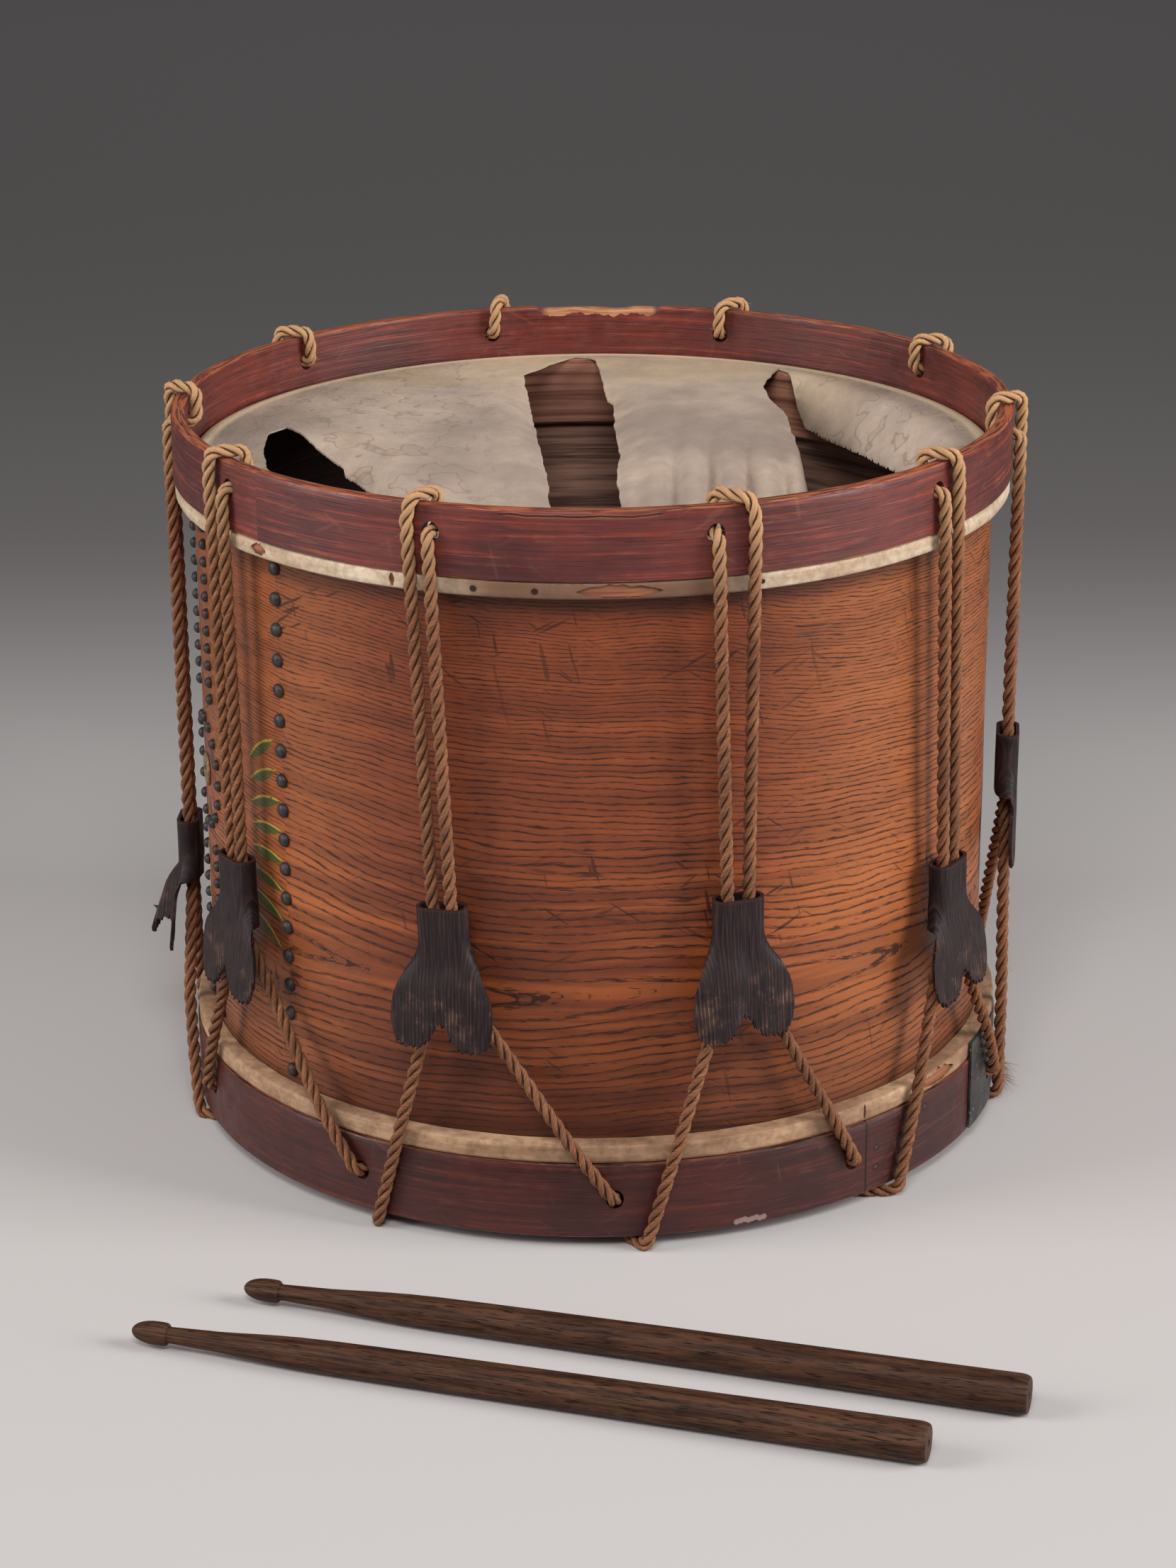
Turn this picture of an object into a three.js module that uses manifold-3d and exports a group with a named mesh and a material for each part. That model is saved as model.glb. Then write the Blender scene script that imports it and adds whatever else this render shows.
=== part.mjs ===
// A rope-tension field drum with its two drumsticks.
//
// Millimetres, +Z up. The drum stands on the turns of rope under its lower hoop, at z = 0.
// The origin is the middle of the floor that the drum and its sticks cover together.
// Angles run round the drum from the front (-Y) towards +X, as seen from above anticlockwise.

import * as THREE from 'three';
import { mergeVertices } from 'three/addons/utils/BufferGeometryUtils.js';
import Module from 'manifold-3d';

const wasm = await Module();
wasm.setup();

const degree = Math.PI / 180;
const fullTurn = 2 * Math.PI;

// Fits
const seat = 0.3; // gap between pieces that rest on each other
const ropeSlack = 0.7; // gap between the rope and the hoop that it is drawn round
const overrun = 4; // how far a cutting tool runs past the face that it cuts

// Shell
const shellDiameter = 419;
const shellHeight = 321;
const shellWall = 6;
const bearingRound = 2; // slope on the edges that carry the skins

// Glue rings inside the shell
const glueRingHeight = 38;
const glueRingWall = 5.5;
const glueRingEdge = 1.5;

// Skins and the flesh hoops that they are lapped on
const skinThickness = 1;
const fleshHoopWidth = 6.2;
const upperFleshHoopHeight = 6.1;
const lowerFleshHoopHeight = 7.4;
const tuckShare = 0.75; // share of the flesh hoop's top that the lapped skin covers

// Counter hoops
const hoopPlay = 1.2; // between the skin that covers the shell's side and a counter hoop
const hoopWall = 7.5;
const upperHoopHeight = 34.8;
const lowerHoopHeight = 40;
const hoopEdge = 1.2;
const batterRecess = 26.5; // from the batter skin up to the rim
const snareRecess = 28; // from the snare skin down to the lower hoop's edge
const ropeHoleWidth = 9;
const ropeHoleHeight = 11.5;
const upperHoleDrop = 17.5; // from the rim down to a rope hole's middle
const lowerHoleRise = 21; // from the lower edge up to a rope hole's middle

// Rope
const ropeDiameter = 6.6;
const ropeBend = 5; // radius of the rope's middle line at its bends
const footFlatShare = 0.1; // share of the rope's diameter that is worn flat where the drum stands
const knotShare = 0.95; // stopper knot's radius as a share of the rope's diameter
const tailLength = 24;

// Leather ears
const earHeight = 74;
const earSleeveLength = 38;
const earTopWidth = 25.5;
const earLobeWidth = 53;
const earNotchDepth = 12.5;
const earLeather = 2.4;
const earPlay = 0.5; // between the rope and the leather round it
const earBow = 2.5; // how far the lobes curve back towards the shell
const earFlare = 6 * degree; // lean of the lobes away from the shell
const legPitch = 9.4; // between the two legs of rope in an ear
const legLean = 2; // how much nearer the shell the legs are at the ears

// Dome-headed tacks
const tackDiameter = 6.8;
const tackRise = 2.5;
const seamTackCount = 18;

// Vent
const ventBore = 8;
const ventBushWall = 1.8;
const ventFlange = 3.2;
const ventFlangeThickness = 1.4;

// Gut snares, their butt plate and their strainer
const gutCount = 6;
const gutDiameter = 1.6;
const gutPitch = 3;
const gateHeight = 5;
const gateMargin = 1;
const buttPlateThickness = 1.2;
const buttPlateMargin = 1;
const buttPlateLeftReach = 11.1; // from the middle of the gut
const buttPlateRightReach = 32.6;
const frameWall = 2;
const frameDepth = 19;
const frameHeight = 20;
const jawDepth = 9;
const jawHeight = 11;
const jawPlay = 0.5;
const gutGrip = 6; // length of gut inside the jaw when it is slack
const rodDiameter = 5;
const rodLength = 26;
const rodPlay = 0.35;
const nutHeight = 7;
const nutDiameter = 10;
const wingSpan = 30;
const wingHeight = 11;
const wingThickness = 2.4;

// Drumsticks
const stickLength = 388;
const stickDiameter = 19.4;

// Facets
const roundSegmentCount = 50;
const cordSideCount = 6;
const slightTurn = 20 * degree; // a cord turns this much at one station

// The lacing: one entry for each ear, or for the anchor on its right
const bayCount = 10;
const bayAngle = fullTurn / bayCount;
const firstTopAngle = -22 * degree;
const firstFootAngle = 4 * degree;
const topShares = [0.01, 0.09, 0.04, -0.07, -0.05, 0.01, 0.01, 0, 0.03, 0.05];
const topGapShares = [0.056, 0.112, 0.066, 0.066, 0.066, 0.066, 0.066, 0.066, 0.066, 0.072];
const topHoleOnLeft = [false, true, true, true, false, false, false, true, false, false];
const earShares = [0.07, 0.12, 0.125, -0.055, 0, 0.03, 0.04, 0.03, 0.055, 0.068];
const earLevelShares = [0.474, 0.486, 0.454, 0.539, 0.468, 0.493, 0.458, 0.483, 0.389, 0.461];
const footLeftShares = [-0.05, -0.1, -0.1, -0.08, -0.06, -0.05, -0.06, 0.005, -0.18, -0.035];
const footRightShares = [0.06, 0.11, 0.07, 0.07, 0.06, 0.08, 0.06, 0.115, -0.03, 0.05];
const footHoleOnLeft = [true, true, true, true, true, true, true, true, false, true];
const lastFootIndex = 2; // the anchor where the rope starts and ends
const legLead = 2; // from an ear's sleeve down to where its legs part

const seamTackAngle = -48.5 * degree;
const ventAngle = -77 * degree;
const ventLevelShare = 0.5;
const buttAngle = 66.8 * degree;

// Levels, from the floor up
const ropeRadius = ropeDiameter / 2;
const footLevel = ropeRadius - footFlatShare * ropeDiameter;
const lowerHoopBottom = footLevel + ropeRadius + ropeSlack;
const lowerHoopTop = lowerHoopBottom + lowerHoopHeight;
const snareFace = lowerHoopBottom + snareRecess;
const shellBottom = snareFace + skinThickness + seat;
const shellTop = shellBottom + shellHeight;
const batterFace = shellTop + seat + skinThickness;
const rim = batterFace + batterRecess;
const upperHoopBottom = rim - upperHoopHeight;
const overLevel = rim + ropeSlack + ropeRadius;
const upperHoleLevel = rim - upperHoleDrop;
const lowerHoleLevel = lowerHoopBottom + lowerHoleRise;
const fleshPackOf = (hoopHeight) => hoopHeight + 2 * (skinThickness + seat);
const partingLevel = lowerHoopTop + seat + fleshPackOf(lowerFleshHoopHeight) + ropeRadius;

// Radii, from the shell out
const shellRadius = shellDiameter / 2;
const shellInside = shellRadius - shellWall;
const collarInside = shellRadius + seat;
const collarOutside = collarInside + skinThickness;
const fleshInside = collarOutside + seat;
const fleshOutside = fleshInside + fleshHoopWidth;
const lapOutside = fleshOutside + seat + skinThickness;
const hoopInside = collarOutside + hoopPlay;
const hoopRadius = hoopInside + hoopWall;
const ropeOutside = hoopRadius + ropeSlack + ropeRadius;
const ropeInside = hoopInside - ropeSlack - ropeRadius;
const legRadius = ropeOutside - legLean;
const buttPlateStart = buttAngle - buttPlateLeftReach / hoopRadius;
const buttPlateEnd = buttAngle + buttPlateRightReach / hoopRadius;

// Solids

function solidOf(geometry) {
  const bare = geometry.clone();
  bare.deleteAttribute('normal');
  bare.deleteAttribute('uv');
  const welded = mergeVertices(bare);
  return new wasm.Manifold(new wasm.Mesh({
    numProp: 3,
    vertProperties: new Float32Array(welded.attributes.position.array),
    triVerts: new Uint32Array(welded.index.array),
  }));
}

function geometryOf(solid) {
  const { vertProperties, triVerts } = solid.getMesh();
  const geometry = new THREE.BufferGeometry();
  geometry.setAttribute('position', new THREE.BufferAttribute(vertProperties, 3));
  geometry.setIndex(new THREE.BufferAttribute(triVerts, 1));
  geometry.computeVertexNormals();
  return geometry;
}

// Turns a closed profile of [radius, height] pairs round the Z axis, from angle 0 at the front.
function revolve(profile, segments = roundSegmentCount) {
  const points = profile.map(([radius, height]) => new THREE.Vector2(radius, height));
  if (THREE.ShapeUtils.area(points) < 0) points.reverse();
  if (points.every((point) => point.x > 0)) points.push(points[0].clone());
  return new THREE.LatheGeometry(points, segments).rotateX(Math.PI / 2);
}

function extrude(shape, depth, curveSegments) {
  return new THREE.ExtrudeGeometry(shape, { depth, curveSegments, bevelEnabled: false });
}

function around(radius, angle, level) {
  return new THREE.Vector3(radius * Math.sin(angle), -radius * Math.cos(angle), level);
}

// A frame on the drum's side: x to the left as seen from outside, y out from the axis, z up.
function sidePlace(radius, angle, level) {
  const out = around(1, angle, 0);
  const up = new THREE.Vector3(0, 0, 1);
  return new THREE.Matrix4().makeBasis(out.clone().cross(up), out, up)
    .setPosition(around(radius, angle, level));
}

// The same place for a turned piece: its own Z axis points out of the drum.
function turnedPlace(radius, angle, level) {
  return sidePlace(radius, angle, level).multiply(new THREE.Matrix4().makeRotationX(-Math.PI / 2));
}

// Materials

function finish(color, roughness, metalness = 0) {
  return new THREE.MeshStandardMaterial({ color, roughness, metalness });
}

const shellWood = finish(0x8a4a26, 0.45);
const upperHoopWood = finish(0x6b2f22, 0.5);
const lowerHoopWood = finish(0x5c2823, 0.55);
const ringWood = finish(0x4a2a20, 0.7);
const fleshWood = finish(0x9a6a3c, 0.65);
const skin = finish(0x9c8f7c, 0.6);
const hemp = finish(0x9a6238, 0.85);
const blackLeather = finish(0x2a2523, 0.7);
const tackIron = finish(0x34363a, 0.5, 0.6);
const bone = finish(0xcdbd9a, 0.5);
const gut = finish(0xb79a66, 0.45);
const darkSheet = finish(0x50554f, 0.5, 0.5);
const iron = finish(0x45464a, 0.45, 0.8);
const walnut = finish(0x4c2c20, 0.45);

const part = new THREE.Group();
const drum = new THREE.Group();
part.add(drum);

function addPiece(name, geometry, material, parent = drum) {
  const mesh = new THREE.Mesh(geometry, material);
  mesh.name = name;
  parent.add(mesh);
  return mesh;
}

// Shell: one bent board with a vent in its side

const ventLevel = shellBottom + ventLevelShare * shellHeight;
const ventHoleRadius = ventBore / 2 + ventBushWall + seat;

function shellSolid() {
  const wall = solidOf(revolve([
    [shellInside, shellBottom],
    [shellRadius - bearingRound, shellBottom],
    [shellRadius, shellBottom + bearingRound],
    [shellRadius, shellTop - bearingRound],
    [shellRadius - bearingRound, shellTop],
    [shellInside, shellTop],
  ]));
  const drill = new THREE.CylinderGeometry(ventHoleRadius, ventHoleRadius, shellWall + 2 * overrun, 12);
  drill.applyMatrix4(sidePlace(shellRadius - shellWall / 2, ventAngle, ventLevel));
  return wall.subtract(solidOf(drill));
}

addPiece('shell', geometryOf(shellSolid()), shellWood);

function glueRing(bottom) {
  const outside = shellInside - seat;
  const inside = outside - glueRingWall;
  const top = bottom + glueRingHeight;
  return revolve([
    [inside, bottom + glueRingEdge],
    [inside + glueRingEdge, bottom],
    [outside, bottom],
    [outside, top],
    [inside + glueRingEdge, top],
    [inside, top - glueRingEdge],
  ]);
}

addPiece('upper_glue_ring', glueRing(shellTop - glueRingHeight), ringWood);
addPiece('lower_glue_ring', glueRing(shellBottom), ringWood);

const ventBush = revolve([
  [ventBore / 2, -shellWall],
  [ventBore / 2 + ventBushWall, -shellWall],
  [ventBore / 2 + ventBushWall, seat],
  [ventBore / 2 + ventBushWall + ventFlange, seat],
  [ventBore / 2 + ventBushWall + ventFlange / 2, seat + ventFlangeThickness],
  [ventBore / 2, seat + ventFlangeThickness],
], 12);
addPiece('vent_bushing', ventBush.applyMatrix4(turnedPlace(shellRadius, ventAngle, ventLevel)), bone);

// Flesh hoops, and the skins lapped round them

// The levels of a lapped flesh hoop, from the side of its skin's face (near) to the far side.
const upperFlesh = { face: batterFace, near: upperHoopBottom - seat, up: -1, height: upperFleshHoopHeight };
const lowerFlesh = { face: snareFace, near: lowerHoopTop + seat, up: 1, height: lowerFleshHoopHeight };

function fleshHoop({ near, up, height }) {
  const top = near + up * (skinThickness + seat);
  const bottom = top + up * height;
  return revolve([
    [fleshInside, bottom],
    [fleshOutside, bottom],
    [fleshOutside, top],
    [fleshInside, top],
  ]);
}

// The skin's section: down between shell and hoop, round the flesh hoop, and over its near side.
function lapProfile({ face, near, up, height }) {
  const far = near + up * fleshPackOf(height);
  const tuckEnd = fleshOutside - tuckShare * fleshHoopWidth;
  return [
    [collarInside, face],
    [collarInside, far],
    [lapOutside, far],
    [lapOutside, near],
    [tuckEnd, near],
    [tuckEnd, near + up * skinThickness],
    [lapOutside - skinThickness, near + up * skinThickness],
    [lapOutside - skinThickness, far - up * skinThickness],
    [collarOutside, far - up * skinThickness],
    [collarOutside, face],
  ];
}

addPiece('upper_flesh_hoop', fleshHoop(upperFlesh), fleshWood);
addPiece('lower_flesh_hoop', fleshHoop(lowerFlesh), fleshWood);

addPiece('snare_head', revolve([
  [0, snareFace + skinThickness],
  [collarInside, snareFace + skinThickness],
  ...lapProfile(lowerFlesh).slice(1),
  [0, snareFace],
]), skin);

// The torn batter head. Its outlines are in shares of the skin's radius, x to the right, y back.

const leftTearShares = [
  [-0.81, 0.19], [-0.75, 0.19], [-0.68, 0.01], [-0.55, -0.24], [-0.46, -0.45], [-0.42, -0.62],
  [-0.43, -0.78], [-0.63, -0.62], [-0.74, -0.42], [-0.81, -0.13],
];
const middleTearShares = [
  [-0.18, 0.72], [-0.04, 0.93], [0.0, 0.9], [0.025, 0.62], [0.05, 0.43], [0.06, 0.2], [0.065, -0.08],
  [0.053, -0.4], [0.06, -0.82], [-0.13, -0.82], [-0.1, -0.55], [-0.105, -0.33], [-0.14, 0.07], [-0.16, 0.5],
];
const rightTearShares = [
  [0.455, 0.64], [0.49, 0.75], [0.53, 0.8], [0.57, 0.19], [0.68, 0.0], [0.79, -0.19], [0.78, -0.36],
  [0.66, -0.55], [0.5, -0.71], [0.53, -0.4], [0.51, 0.12],
];
const frontTearShares = [
  [-0.5, -0.66], [-0.25, -0.79], [0.0, -0.83], [0.28, -0.79], [0.55, -0.63],
  [0.53, -0.4], [0.47, -0.48], [0.28, -0.61], [0.0, -0.68], [-0.25, -0.62], [-0.44, -0.5],
];
const skinCellCount = 18;
const sagDepthShare = 0.2;
const sagBackShare = 0.72; // where the hanging tongues leave the sound skin at the back
const sagFrontShare = -0.74;
const sagRimShare = 0.8; // sound skin outside this share of the radius stays flat
const sagInnerShare = 0.72; // torn skin inside this share hangs free where it is torn off in front
const sagBackInnerShare = 0.54;
const rippleShare = 0.012;
const ripplePeriodShare = 0.13;

function easeBetween(start, end, value) {
  const t = Math.min(Math.max((value - start) / (end - start), 0), 1);
  return t * t * (3 - 2 * t);
}

// How far the torn skin hangs below the sound skin, at a place given in shares of the radius.
function sagAt(across, back) {
  const towardsFront = easeBetween(sagBackShare, sagFrontShare, back);
  const inner = back < 0 ? sagInnerShare : sagBackInnerShare;
  const fold = rippleShare * Math.sin(fullTurn * across / ripplePeriodShare);
  const loose = easeBetween(sagRimShare, inner, Math.hypot(across, back));
  return loose * towardsFront * (sagDepthShare * towardsFront + fold);
}

function tearPrism(shares) {
  const shape = new THREE.Shape(shares.map(([x, y]) => new THREE.Vector2(x, y).multiplyScalar(shellRadius)));
  const depth = sagDepthShare * shellRadius + 3 * overrun;
  return solidOf(extrude(shape, depth).translate(0, 0, batterFace + overrun - depth));
}

function batterHeadSolid() {
  const width = 2 * collarOutside + overrun;
  const sheet = new THREE.BoxGeometry(width, width, skinThickness, skinCellCount, skinCellCount, 1);
  sheet.translate(0, 0, batterFace - skinThickness / 2);
  const spots = sheet.attributes.position;
  for (let i = 0; i < spots.count; i += 1) {
    const drop = shellRadius * sagAt(spots.getX(i) / shellRadius, spots.getY(i) / shellRadius);
    spots.setZ(i, spots.getZ(i) - drop);
  }
  const reach = sagDepthShare * shellRadius + overrun;
  const disc = solidOf(revolve([
    [0, batterFace - reach],
    [shellRadius - bearingRound - shellWall, batterFace - reach],
    [shellRadius - bearingRound - shellWall, batterFace - skinThickness],
    [collarOutside, batterFace - skinThickness],
    [collarOutside, batterFace + overrun],
    [0, batterFace + overrun],
  ]));
  const tears = [leftTearShares, middleTearShares, rightTearShares, frontTearShares];
  const torn = tears.reduce((solid, shares) => solid.subtract(tearPrism(shares)), solidOf(sheet).intersect(disc));
  return torn.add(solidOf(revolve(lapProfile(upperFlesh))));
}

addPiece('batter_head', geometryOf(batterHeadSolid()), skin);

// Counter hoops with their rope holes

const pick = (table, i) => table[i % table.length];
const topAngle = (i) => firstTopAngle + bayAngle * (i + pick(topShares, i));
const earAngle = (i) => firstTopAngle + bayAngle * (i + pick(earShares, i));
const footAngle = (i, shares) => firstFootAngle + bayAngle * (i + pick(shares, i));

// Both crossings of a hoop at one anchor: the rope goes round the hoop's edge at one, and through at the other.
function topAnchor(i) {
  const halfGap = pick(topGapShares, i) * bayAngle / 2;
  const onLeft = pick(topHoleOnLeft, i);
  return {
    left: { angle: topAngle(i) - halfGap, level: onLeft ? upperHoleLevel : overLevel, hole: onLeft },
    right: { angle: topAngle(i) + halfGap, level: onLeft ? overLevel : upperHoleLevel, hole: !onLeft },
  };
}

function footAnchor(i) {
  const onLeft = pick(footHoleOnLeft, i);
  return {
    left: { angle: footAngle(i, footLeftShares), level: onLeft ? lowerHoleLevel : footLevel, hole: onLeft },
    right: { angle: footAngle(i, footRightShares), level: onLeft ? footLevel : lowerHoleLevel, hole: !onLeft },
  };
}

function ropeHole({ angle, level }) {
  const drill = new THREE.CylinderGeometry(1, 1, hoopWall + 2 * overrun, 10);
  drill.scale(ropeHoleWidth / 2, 1, ropeHoleHeight / 2);
  return solidOf(drill.applyMatrix4(sidePlace(hoopRadius - hoopWall / 2, angle, level)));
}

function hoopRing(bottom, height) {
  const top = bottom + height;
  return solidOf(revolve([
    [hoopInside, bottom],
    [hoopRadius, bottom],
    [hoopRadius, top - hoopEdge],
    [hoopRadius - hoopEdge, top],
    [hoopInside + hoopEdge, top],
    [hoopInside, top - hoopEdge],
  ]));
}

const bays = Array.from({ length: bayCount }, (_, i) => i);
const holeOf = (anchor) => (anchor.left.hole ? anchor.left : anchor.right);
const gutLevel = snareFace - seat - gutDiameter / 2;
const gateWidth = (gutCount - 1) * gutPitch + gutDiameter + 2 * gateMargin;

function snareGate(angle) {
  const gate = new THREE.BoxGeometry(gateWidth, hoopWall + 2 * overrun, gateHeight);
  return solidOf(gate.applyMatrix4(sidePlace(hoopRadius - hoopWall / 2, angle, gutLevel)));
}

const upperHoop = bays.reduce(
  (hoop, i) => hoop.subtract(ropeHole(holeOf(topAnchor(i)))),
  hoopRing(upperHoopBottom, upperHoopHeight),
);
const lowerHoop = bays.reduce(
  (hoop, i) => hoop.subtract(ropeHole(holeOf(footAnchor(i)))),
  hoopRing(lowerHoopBottom, lowerHoopHeight),
).subtract(snareGate(buttAngle)).subtract(snareGate(buttAngle + Math.PI));
addPiece('upper_counter_hoop', geometryOf(upperHoop), upperHoopWood);
addPiece('lower_counter_hoop', geometryOf(lowerHoop), lowerHoopWood);

// Rope: one length laced from hoop to hoop through every ear

// A polyline with rounded corners, with a ring of the sweep at each of its stations.
class LacedRoute extends THREE.Curve {
  constructor(corners, bendRadius) {
    super();
    this.bendRadius = bendRadius;
    this.stations = [corners[0]];
    for (let i = 1; i < corners.length - 1; i += 1) this.roundCorner(corners[i - 1], corners[i], corners[i + 1]);
    this.stations.push(corners.at(-1));
  }

  roundCorner(before, corner, after) {
    const back = before.clone().sub(corner);
    const on = after.clone().sub(corner);
    const turn = Math.PI - back.angleTo(on);
    if (turn < slightTurn) {
      this.stations.push(corner);
      return;
    }
    const reach = Math.min(this.bendRadius * Math.tan(turn / 2), back.length() * 0.48, on.length() * 0.48);
    const start = corner.clone().addScaledVector(back.normalize(), reach);
    const end = corner.clone().addScaledVector(on.normalize(), reach);
    const bend = new THREE.QuadraticBezierCurve3(start, corner, end);
    this.stations.push(...bend.getPoints(Math.max(1, Math.round(turn / (45 * degree)))));
  }

  getPoint(t) {
    const place = Math.min(Math.max(t, 0), 1) * (this.stations.length - 1);
    const i = Math.min(Math.floor(place), this.stations.length - 2);
    return this.stations[i].clone().lerp(this.stations[i + 1], place - i);
  }

  getUtoTmapping(u) {
    return u;
  }
}

// One ear's place: the line between its legs, and the points where the legs part below its sleeve.
function earLine(i) {
  const angle = earAngle(i);
  const parting = pick(earLevelShares, i) * rim - earSleeveLength - legLead;
  const halfPitch = legPitch / 2 / legRadius;
  const top = topAnchor(i);
  const middle = around(legRadius, angle, parting);
  const aim = around(ropeOutside, topAngle(i), (top.left.level + top.right.level) / 2);
  return {
    middle,
    up: aim.sub(middle).normalize(),
    left: around(legRadius, angle - halfPitch, parting),
    right: around(legRadius, angle + halfPitch, parting),
    leftAngle: angle - halfPitch,
    rightAngle: angle + halfPitch,
    parting,
  };
}

const buttPlateStandoff = seat + buttPlateThickness;
const ropeRadiusAt = (angle) => (
  angle > buttPlateStart && angle < buttPlateEnd ? ropeOutside + buttPlateStandoff : ropeOutside
);

// The stretch that lies on the lower hoop's face, from an anchor up to clear of the flesh hoop.
function footStretch(foot, partAngle, parting) {
  const share = (partingLevel - foot.level) / (parting - foot.level);
  return [0, share / 2, share].map((t) => {
    const angle = foot.angle + t * (partAngle - foot.angle);
    return around(ropeRadiusAt(foot.angle), angle, foot.level + t * (parting - foot.level));
  });
}

// Round or through a hoop, from one of an anchor's crossings to the other.
const hoopCrossing = (from, to) => [
  around(ropeInside, from.angle, from.level),
  around(ropeInside, to.angle, to.level),
];

function ropeCorners() {
  const start = footAnchor(lastFootIndex).left;
  const corners = [around(ropeInside - ropeDiameter, start.angle, start.level)];
  for (let step = 0; step < bayCount; step += 1) {
    const i = (lastFootIndex - step + bayCount) % bayCount;
    const previous = (i - 1 + bayCount) % bayCount;
    const wrap = (foot, lap) => ({ ...foot, angle: foot.angle + lap });
    const line = earLine(i);
    const rightFoot = footAnchor(i).left;
    const lap = i === 0 ? -fullTurn : 0;
    const leftFoot = wrap(footAnchor(previous).right, lap);
    const top = topAnchor(i);
    corners.push(...footStretch(rightFoot, line.rightAngle, line.parting), line.right);
    corners.push(around(ropeOutside, top.right.angle, top.right.level));
    corners.push(...hoopCrossing(top.right, top.left));
    corners.push(around(ropeOutside, top.left.angle, top.left.level), line.left);
    corners.push(...footStretch(leftFoot, line.leftAngle, line.parting).reverse());
    if (step < bayCount - 1) {
      corners.push(...hoopCrossing(leftFoot, wrap(footAnchor(previous).left, lap)));
    } else {
      corners.push(around(ropeInside, leftFoot.angle, leftFoot.level));
      corners.push(around(ropeInside, leftFoot.angle, leftFoot.level + tailLength));
    }
  }
  return corners;
}

// A cord of the given diameter, laid along its corners.
function laidCord(corners, diameter, bendRadius) {
  const section = [];
  for (let side = 0; side < cordSideCount; side += 1) {
    const angle = fullTurn * side / cordSideCount;
    section.push(new THREE.Vector2(Math.cos(angle), Math.sin(angle)).multiplyScalar(diameter / 2));
  }
  const extrudePath = new LacedRoute(corners, bendRadius);
  const steps = extrudePath.stations.length - 1;
  return new THREE.ExtrudeGeometry(new THREE.Shape(section), { steps, extrudePath });
}

function ropeSolid() {
  const corners = ropeCorners();
  const laid = solidOf(laidCord(corners, ropeDiameter, ropeBend));
  const knot = new THREE.SphereGeometry(knotShare * ropeDiameter, 8, 6);
  knot.translate(corners[0].x, corners[0].y, corners[0].z - ropeRadius / 2);
  const floor = new THREE.BoxGeometry(4 * hoopRadius, 4 * hoopRadius, overrun);
  floor.translate(0, 0, -overrun / 2);
  return laid.add(solidOf(knot)).subtract(solidOf(floor));
}

addPiece('tension_rope', geometryOf(ropeSolid()), hemp);

// Leather ears. Outline shares: x of half the lobes' width, z of the ear's height below its top.

const earOutlineShares = [
  [-0.51, 0.1], [-0.5, -0.12], [-0.5, -0.36], [-0.6, -0.46], [-0.78, -0.56], [-0.93, -0.7], [-1, -0.84],
  [-0.93, -0.93], [-0.74, -1], [-0.5, -0.96], [-0.3, -0.9],
  [0.0, -0.83],
  [0.3, -0.9], [0.5, -0.96], [0.74, -1], [0.93, -0.93], [1, -0.84], [0.93, -0.7], [0.78, -0.54], [0.6, -0.4],
  [0.53, -0.24], [0.51, 0.1],
];

function stadium(width, depth) {
  const reach = (width - depth) / 2;
  const shape = new THREE.Shape();
  shape.absarc(reach, 0, depth / 2, -Math.PI / 2, Math.PI / 2, false);
  shape.absarc(-reach, 0, depth / 2, Math.PI / 2, 1.5 * Math.PI, false);
  return shape;
}

// One ear, upright and facing -Y, its sleeve's top middle at the origin.
function earSolid() {
  const boreDepth = ropeDiameter + 2 * earPlay;
  const sleeveDepth = boreDepth + 2 * earLeather;
  const sleeveShape = stadium(earTopWidth, sleeveDepth);
  sleeveShape.holes.push(stadium(earTopWidth - 2 * earLeather, boreDepth));
  const sleeve = extrude(sleeveShape, earSleeveLength, 3).translate(0, 0, -earSleeveLength);
  const lobeReach = earLobeWidth / 2;
  const bowRadius = (lobeReach ** 2 + earBow ** 2) / (2 * earBow);
  const halfBow = Math.asin(lobeReach / bowRadius) * 1.1;
  const apronShape = new THREE.Shape();
  apronShape.absarc(0, 0, bowRadius, -Math.PI / 2 - halfBow, -Math.PI / 2 + halfBow, false);
  apronShape.absarc(0, 0, bowRadius - earLeather, -Math.PI / 2 + halfBow, -Math.PI / 2 - halfBow, true);
  const apronTop = earSleeveLength / 3;
  const apron = extrude(apronShape, earHeight, 4);
  apron.translate(0, bowRadius, -earHeight).rotateX(-earFlare);
  apron.translate(0, -sleeveDepth / 2, -apronTop);
  const lobeShare = 1 - earNotchDepth / earHeight;
  const outline = earOutlineShares.map(([x, z]) => new THREE.Vector2(
    x * lobeReach,
    (x === 0 ? -lobeShare : z) * earHeight,
  ));
  const cutter = extrude(new THREE.Shape(outline), 4 * sleeveDepth).rotateX(Math.PI / 2);
  cutter.translate(0, 2 * sleeveDepth, 0);
  return solidOf(sleeve).add(solidOf(apron)).intersect(solidOf(cutter));
}

const earGeometry = geometryOf(earSolid());
for (const i of bays) {
  const line = earLine(i);
  const out = around(1, earAngle(i), 0);
  const inward = out.clone().addScaledVector(line.up, -out.dot(line.up)).normalize().negate();
  const across = inward.clone().cross(line.up);
  const ear = addPiece(`ear_${String(i + 1).padStart(2, '0')}`, earGeometry, blackLeather);
  ear.quaternion.setFromRotationMatrix(new THREE.Matrix4().makeBasis(across, inward, line.up));
  ear.position.copy(line.middle).addScaledVector(line.up, earSleeveLength + legLead);
}

// Tacks: a row of dome-headed tacks down the shell's lap

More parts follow.
